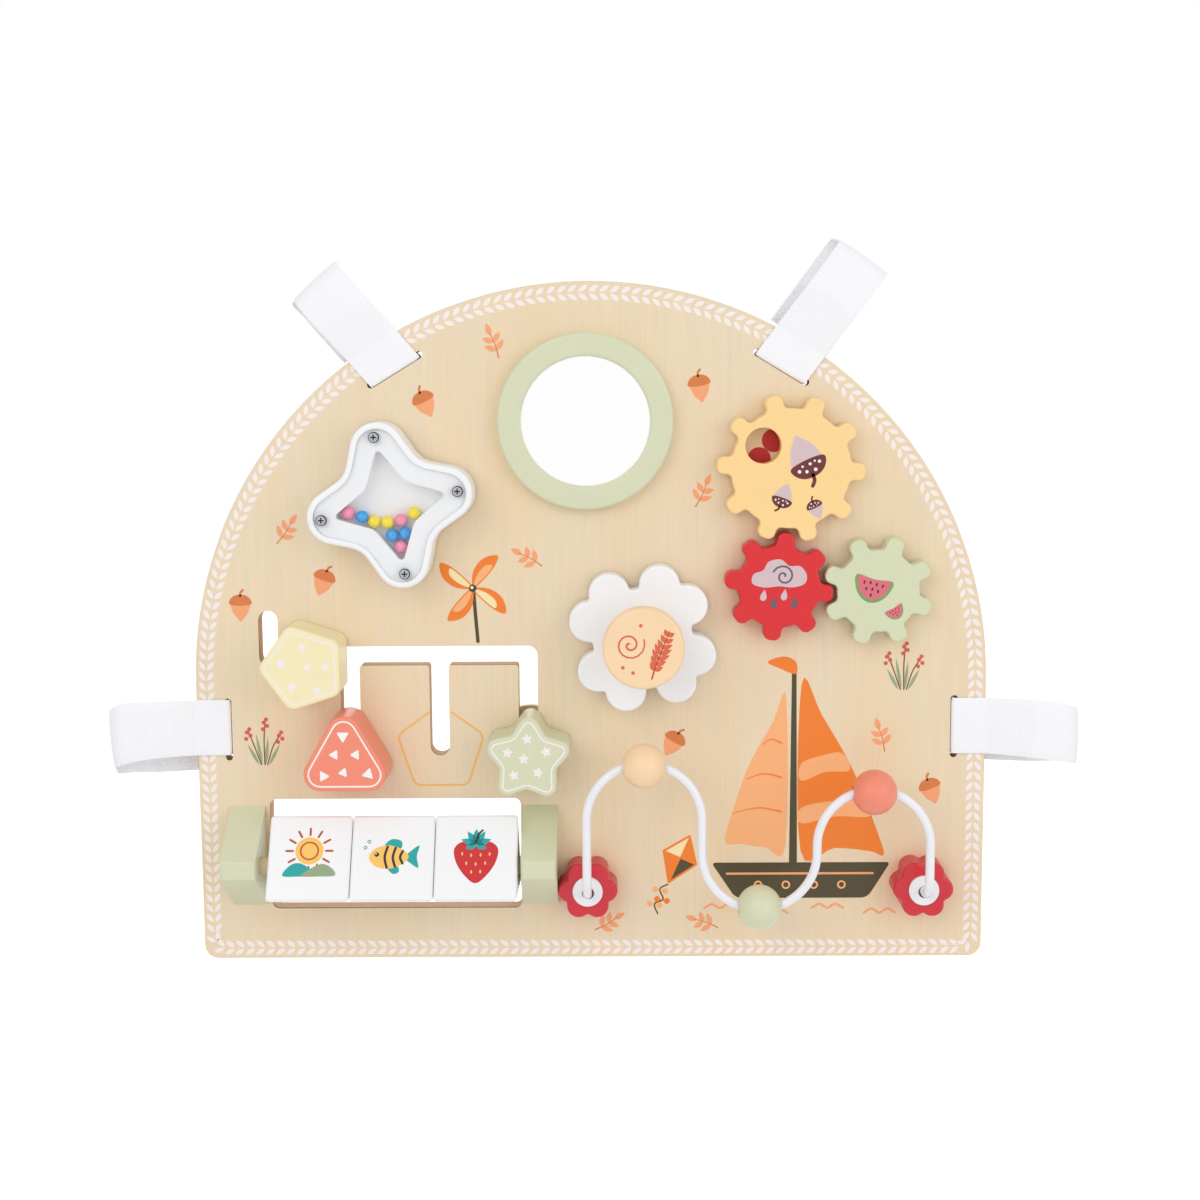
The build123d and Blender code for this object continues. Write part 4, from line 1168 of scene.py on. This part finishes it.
class Loop:
    """One loop of webbing, in millimetres out along it, across it and out of the board."""

    # The slot's place in from the edge of the board, and how the band sits in it
    slot_inset = 18
    slot_side = -0.9
    slot_gap = 0.3

    # The two ends behind the board, out from the slot, with the patch between them
    overlap_start, overlap_end = 20, 46
    patch_thickness = 1.0

    # Bends of the band, its bulge to the front and back, and how finely it is cut up
    slot_radius, bend_radius = 1.4, 9
    front_rise, rear_rise = 6, 5
    step_length = 1.6
    columns = 12

    # The end inside comes to its tuck over a length; the fold turns to the back past the end of
    # the overlap, from a height at the front to one just before the outer layer
    tuck_ease = 6
    fold_start = 4
    fold_front, fold_rear = 2, 1.2

    # The band's middle bulges away from the slot, on the front and round the fold, and to the
    # back behind a depth; its edges are thinner
    crown_height = 0.55
    crown_start, crown_ease = 4, 22
    front_depth, crown_depth = -3, -8
    edge_share = 0.5
    sharp_angle = radians(50)

    def __init__(self, angle, reach, slot_up, seat, tuck, fold, behind, bow):
        sizes = bpy.context.scene.busy_board_sizes
        self.along = Vector((cos(radians(angle)), 0, sin(radians(angle))))
        self.across = Vector((-self.along.z, 0, self.along.x))
        self.slot = self.along * (board_width / 2 - self.slot_inset) * MM
        self.slot += Vector((0, front_y, slot_up * MM))
        self.reach, self.seat, self.tuck = reach, seat, tuck
        self.fold, self.behind, self.bow = fold, behind, bow
        self.width = sizes.webbing_width / MM
        self.half = sizes.webbing_thickness / MM / 2
        self.back = (front_y - back_y) / MM - self.half - self.slot_gap
        self.outer = self.back - 2 * self.half - self.patch_thickness

    def route(self):
        """Through the slot, out over the front, round, and back behind the board."""
        front = self.half + self.slot_gap
        corners = [
            (self.overlap_end, self.back), (self.slot_side, self.back), (self.slot_side, front),
            (self.slot_inset, front),
            ((self.slot_inset + self.reach) / 2, front + self.front_rise),
            (self.reach, self.front_rise), (self.reach, self.outer - self.rear_rise),
            (self.overlap_end + 2, self.outer), (self.overlap_start, self.outer)]
        radii = [0] + [self.slot_radius] * 2 + [self.bend_radius] * (len(corners) - 3)
        points = rounded(corners, radii, closed=False, steps=9)
        even = [Vector(points[0])]
        for point in points[1:]:
            start = even[-1]
            run = Vector(point) - start
            pieces = max(1, round(run.length / self.step_length))
            even += [start + run * (step / pieces) for step in range(1, pieces + 1)]
        return even

    def drift(self, u, across, height):
        """The middle's shift across and the lean at a point of the route."""
        out = held(u / self.reach)
        low_bow, high_bow, behind_bow = self.bow
        rear = self.outer + self.fold_rear
        late = held((self.fold_front - height) / (self.fold_front - rear))
        late = late * late * (3 - 2 * late)
        shift_part = lean_part = out ** behind_bow
        tucked = 0
        if height > rear:
            at_fold = u > self.overlap_end + self.fold_start
            tucked = held(u / self.tuck_ease) if height < 0 and not at_fold else 0
            late = late if at_fold else 0
            shift_part = out ** (low_bow + (high_bow - low_bow) * (across / self.width + 0.5))
            lean_part = out ** high_bow
        return (self.seat + self.tuck * tucked + self.fold[0] * shift_part
                + self.behind[0] * late, self.fold[1] * lean_part + self.behind[1] * late)

    def point(self, u, across, height):
        shift, lean = self.drift(u, across, height)
        lean = radians(lean)
        u, w = u - across * sin(lean), shift + across * cos(lean)
        return self.slot + (self.along * u + self.across * w + Vector((0, -height, 0))) * MM

    def section(self, point, normal, places):
        """Points round the band where the route has this point and this way out."""
        away = 0.0
        if point.y > self.front_depth or point.x > self.overlap_end + self.fold_start:
            away = held((point.x - self.crown_start) / self.crown_ease)
        face = 1 if point.y > self.crown_depth else -1
        for place, across in enumerate(places):
            edge = self.edge_share if place % (self.columns + 1) in (0, self.columns) else 1.0
            side = self.half * edge * (1 if place <= self.columns else -1)
            crown = self.crown_height * away * (1 - (2 * across / self.width) ** 2)
            moved = normal * (side + crown * face)
            yield self.point(point.x, across, point.y) + Vector((
                self.along.x * moved.x, -moved.y, self.along.z * moved.x)) * MM

    def woven(self, name, material):
        """The band as a closed mesh with its length and width as a UV map in metres."""
        shape = bmesh.new()
        uv = shape.loops.layers.uv.new("webbing")
        route = self.route()
        stops = [self.width * (column / self.columns - 0.5) for column in range(self.columns + 1)]
        places = stops + stops[::-1]
        rings, lengths = [], [0.0]
        for index, point in enumerate(route):
            ahead = route[min(index + 1, len(route) - 1)] - route[max(index - 1, 0)]
            tangent = ahead.normalized()
            normal = Vector((-tangent.y, tangent.x))
            if index:
                lengths.append(lengths[-1] + (point - route[index - 1]).length)
            rings.append([shape.verts.new(corner)
                          for corner in self.section(point, normal, places)])
        for row, (low, high) in enumerate(zip(rings, rings[1:])):
            for place, quad in enumerate(add_band(shape, low, high)):
                after = (place + 1) % len(low)
                corners = ((row, place), (row, after), (row + 1, after), (row + 1, place))
                for corner, (step, across) in zip(quad.loops, corners):
                    corner[uv].uv = (lengths[step] * MM, places[across] * MM)
        for ring in (rings[0], rings[-1]):
            for corner, across in zip(shape.faces.new(ring).loops, places):
                corner[uv].uv = (0, across * MM)
        bmesh.ops.recalc_face_normals(shape, faces=shape.faces)
        mesh = new_mesh("webbing_" + name, shape, material)
        mesh.shade_smooth()
        mesh.set_sharp_from_angle(angle=self.sharp_angle)
        return mesh

    def box(self, start, end, margin, height):
        """A rectangle on the loop's overlap behind the board."""
        half = self.width / 2 - margin
        corners = [(start, -half), (end, -half), (end, half), (start, half)]
        return [self.point(u, across, height) for u, across in corners]


class BUSYBOARD_OT_straps(bpy.types.Operator):
    """Make the webbing loops, with their hook patches and stitches"""
    bl_idname = "busyboard.straps"
    bl_label = "Make Webbing Loops"

    # Angle, reach and the slot's place up; then shifts across in mm, with leans in degrees as
    # second number of a pair: the seat in the slot, the tuck that the end inside adds behind
    # the board, what the fold adds, and what its turn to the back adds to that. Last come the
    # powers by which the fold's shift grows along the loop: at its low edge, at its high edge
    # and behind.
    loops = {
        "top_left": (121.3, 64.5, side_height, 0.5, 1.7, (11.0, 10.5), (4.0, 0.0),
                     (1.0, 1.0, 1.0)),
        "top_right": (58.7, 74.7, side_height, 0.0, -1.5, (-7.4, -3.5), (3.8, 0.0),
                      (1.0, 1.0, 1.0)),
        "side_left": (180, 67, 135.3, -1.4, 3.3, (7.2, 4.0), (7.0, -4.0), (16.0, 4.7, 0.3)),
        "side_right": (0, 70, 135.3, 0.6, -3.3, (-6.2, 0.5), (-2.9, 0.0), (2.7, 6.0, 0.3)),
    }

    # The patch lies inside the overlap; its rings, by height and margin, chamfer its edges
    patch_inset, patch_side = 1, 0.5
    patch_rings = ((-0.5, 0.6), (-0.3, 0.2), (0.3, 0.2), (0.5, 0.6))

    seam_margin = 3
    seam_lift = 0.1
    seam = {"Pitch": 3.0 * MM, "Stitch length": 2.2 * MM, "Thread": 0.55 * MM}

    def execute(self, context):
        cloth, pile, yarn = (bpy.data.materials[name]
                             for name in ("woven_webbing", "hook_pile", "sewing_thread"))
        patches = bmesh.new()
        stitch_tree = self.stitch_row()
        for name, settings in self.loops.items():
            loop = Loop(*settings)
            new_piece("webbing_" + name, "board", loop.woven(name, cloth),
                      ["strap_" + name])
            self.add_patch(patches, loop)
            corners = loop.box(loop.overlap_start + self.seam_margin,
                               loop.overlap_end - self.seam_margin, self.seam_margin,
                               loop.outer - loop.half - self.seam_lift)
            path = line_mesh("stitch_path_" + name, corners)
            grown = grow("stitches_" + name, stitch_tree, path, {**self.seam, "Material": yarn})
            new_piece("stitches_" + name, "board", grown)
        bmesh.ops.recalc_face_normals(patches, faces=patches.faces)
        mesh = new_mesh("hook_patches", patches, pile)
        new_piece("hook_patches", "board", mesh, ["strap_hook_patches"])
        return {"FINISHED"}

    def add_patch(self, patches, loop):
        """A thin pad between the two layers, with its edges chamfered."""
        middle = (loop.back + loop.outer) / 2
        rings = []
        for height, margin in self.patch_rings:
            corners = loop.box(loop.overlap_start + self.patch_inset + margin,
                               loop.overlap_end - self.patch_inset - margin,
                               self.patch_side + margin, loop.outer)
            lift = Vector((0, -(middle + height - loop.outer) * MM, 0))
            rings.append([patches.verts.new(corner + lift) for corner in corners])
        for low, high in zip(rings, rings[1:]):
            add_band(patches, low, high)
        patches.faces.new(rings[0][::-1])
        patches.faces.new(rings[-1])

    def stitch_row(self):
        """Rounded stitches in a row along a path."""
        tree = Growth("stitch_row", "Pitch", "Stitch length", "Thread")
        bead = tree.node("GeometryNodeMeshUVSphere", {"Segments": 8, "Rings": 5, "Radius": 0.5})
        thick = tree.given("Thread")
        size = tree.node("ShaderNodeCombineXYZ", {
            0: tree.given("Stitch length"), 1: thick, 2: thick})
        stitch = tree.node("GeometryNodeTransform", {"Geometry": bead, "Scale": size})
        return tree.along_path(stitch, (0.0, 1.0, 0.0))


# Shaker

class BUSYBOARD_OT_window(bpy.types.Operator):
    """Make the shaker's clear window, with a fine bevel and holes for its screws"""
    bl_idname = "busyboard.window"
    bl_label = "Make Shaker Window"

    # Reach and radius of the body's lobes and of the hollows between them
    lobe_reach, lobe_radius = 46.5, 15
    hollow_reach, hollow_radius = 29.5, 15
    turn = 11.7
    inset = 3.6
    lift = 0.15
    bevel = 0.35
    screw_reach, screw_radius = 38.4, 1.3

    def execute(self, context):
        low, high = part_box("star_window")
        x, _, z = joints["star_spin"]["pos_m"]
        face = Face((x, low.y, z))
        thickness = (high.y - low.y) / MM
        outline = star(4, self.lobe_reach - self.inset, self.lobe_radius - self.inset,
                       self.hollow_reach - self.inset, self.hollow_radius + self.inset, self.turn)
        holes = [oval(*spoke(self.screw_reach, self.turn + 90 * index), self.screw_radius)
                 for index in range(4)]
        face.raise_shape([outline, *holes], (
            (self.lift - thickness, 0), (-self.bevel, 0), (0, self.bevel)))
        mesh = new_mesh("shaker_window", face.mesh, bpy.data.materials["window_acrylic"])
        new_piece("shaker_window", "star_shaker", mesh, ["star_window"])
        return {"FINISHED"}


# Stage

def stage_material():
    """A pale floor that shows white to the camera and in reflections but keeps its shadow."""
    grey, glow_strength = 0.80, 0.62
    shader = Shader("studio_floor")
    tone = shader.shade((grey, grey, grey), shader.waver(2, 2) * 0.01)
    diffuse = shader.node("ShaderNodeBsdfDiffuse", {"Color": tone})
    glow = shader.node("ShaderNodeEmission", {"Color": (1, 1, 1), "Strength": glow_strength})
    lit = shader.node("ShaderNodeAddShader", {0: diffuse, 1: glow})
    return shader.end(shader.node("ShaderNodeMixShader", {0: shader.seen(), 1: diffuse, 2: lit}))


class BUSYBOARD_OT_stage(bpy.types.Operator):
    """Set up the floor, the soft light and the camera"""
    bl_idname = "busyboard.stage"
    bl_label = "Set Up Stage"

    floor_drop = 0.30
    floor_reach = 6.0

    # Place, width and height in metres, and which setting holds the power
    lights = {
        "key_light": ((-0.9, -1.6, 1.05), (1.4, 1.4), "key_power"),
        "fill_light": ((1.3, -1.3, 0.6), (1.4, 1.4), "fill_power"),
        "back_light": ((0.2, 1.6, 1.2), (1.6, 1.2), "fill_power"),
    }

    def execute(self, context):
        scene = context.scene
        stage = scene.busy_board_stage
        mesh = bpy.data.meshes.new("studio_floor")
        corners = [(x * self.floor_reach, y * self.floor_reach, -self.floor_drop)
                   for x, y in ((-1, -1), (1, -1), (1, 1), (-1, 1))]
        mesh.from_pydata(corners, [], [(0, 1, 2, 3)])
        mesh.materials.append(stage_material())
        in_scene("studio_floor", mesh)

        target = Vector((0, 0, board_height / 2 * MM))
        for name, (place, size, power) in self.lights.items():
            light = bpy.data.lights.new(name, "AREA")
            light.shape = "RECTANGLE"
            light.size, light.size_y = size
            light.energy = getattr(stage, power)
            lamp = in_scene(name, light)
            lamp.location = place
            lamp.rotation_euler = (target - Vector(place)).to_track_quat("-Z", "Y").to_euler()

        scene.world = bpy.data.worlds.new("studio_sky")
        scene.world.use_nodes = True
        tree = Tree(scene.world.node_tree)
        sky = tree.node("ShaderNodeBackground", {
            "Color": (1, 1, 1), "Strength": tree.seen() * (1 - stage.sky) + stage.sky})
        tree.node("ShaderNodeOutputWorld", {"Surface": sky})

        camera = bpy.data.cameras.new("camera")
        camera.lens = stage.lens
        camera.sensor_width = 36
        camera.clip_start = 0.01
        scene.camera = in_scene("camera", camera)
        scene.camera.matrix_world = (
            Matrix.Translation(stage.camera_place)
            @ Matrix.Rotation(stage.camera_left, 4, "Z")
            @ Matrix.Rotation(-stage.camera_down, 4, "X")
            @ Matrix.Rotation(stage.camera_roll, 4, "Y")
            @ Matrix.Rotation(pi / 2, 4, "X"))
        scene.view_settings.view_transform = "Standard"
        return {"FINISHED"}


class BUSYBOARD_PT_panel(bpy.types.Panel):
    """Builds the busy board's looks piece by piece"""
    bl_idname = "BUSYBOARD_PT_panel"
    bl_label = "Busy Board"
    bl_space_type = "VIEW_3D"
    bl_region_type = "UI"
    bl_category = "Busy Board"

    def draw(self, context):
        for operator in OPERATORS:
            self.layout.operator(operator.bl_idname)
        for name in PROPERTY_GROUPS:
            group = getattr(context.scene, name)
            for field in group.bl_rna.properties.keys():
                if field not in ("rna_type", "name"):
                    self.layout.prop(group, field)


OPERATORS = (
    BUSYBOARD_OT_paint,
    BUSYBOARD_OT_straps,
    BUSYBOARD_OT_window,
    BUSYBOARD_OT_border,
    BUSYBOARD_OT_board_prints,
    BUSYBOARD_OT_gear_prints,
    BUSYBOARD_OT_slider_prints,
    BUSYBOARD_OT_drum_prints,
    BUSYBOARD_OT_stage,
)
PROPERTY_GROUPS = {
    "busy_board_paints": BusyBoardPaints,
    "busy_board_inks": BusyBoardInks,
    "busy_board_sizes": BusyBoardSizes,
    "busy_board_stage": BusyBoardStage,
}


def register():
    for item in (*PROPERTY_GROUPS.values(), *OPERATORS, BUSYBOARD_PT_panel):
        bpy.utils.register_class(item)
    for name, group in PROPERTY_GROUPS.items():
        setattr(bpy.types.Scene, name, bpy.props.PointerProperty(type=group))


def unregister():
    for name in PROPERTY_GROUPS:
        delattr(bpy.types.Scene, name)
    for item in reversed((*PROPERTY_GROUPS.values(), *OPERATORS, BUSYBOARD_PT_panel)):
        bpy.utils.unregister_class(item)


def main():
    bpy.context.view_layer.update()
    register()
    for operator in OPERATORS:
        family, name = operator.bl_idname.split(".")
        getattr(getattr(bpy.ops, family), name)()


if __name__ == "__main__":
    main()
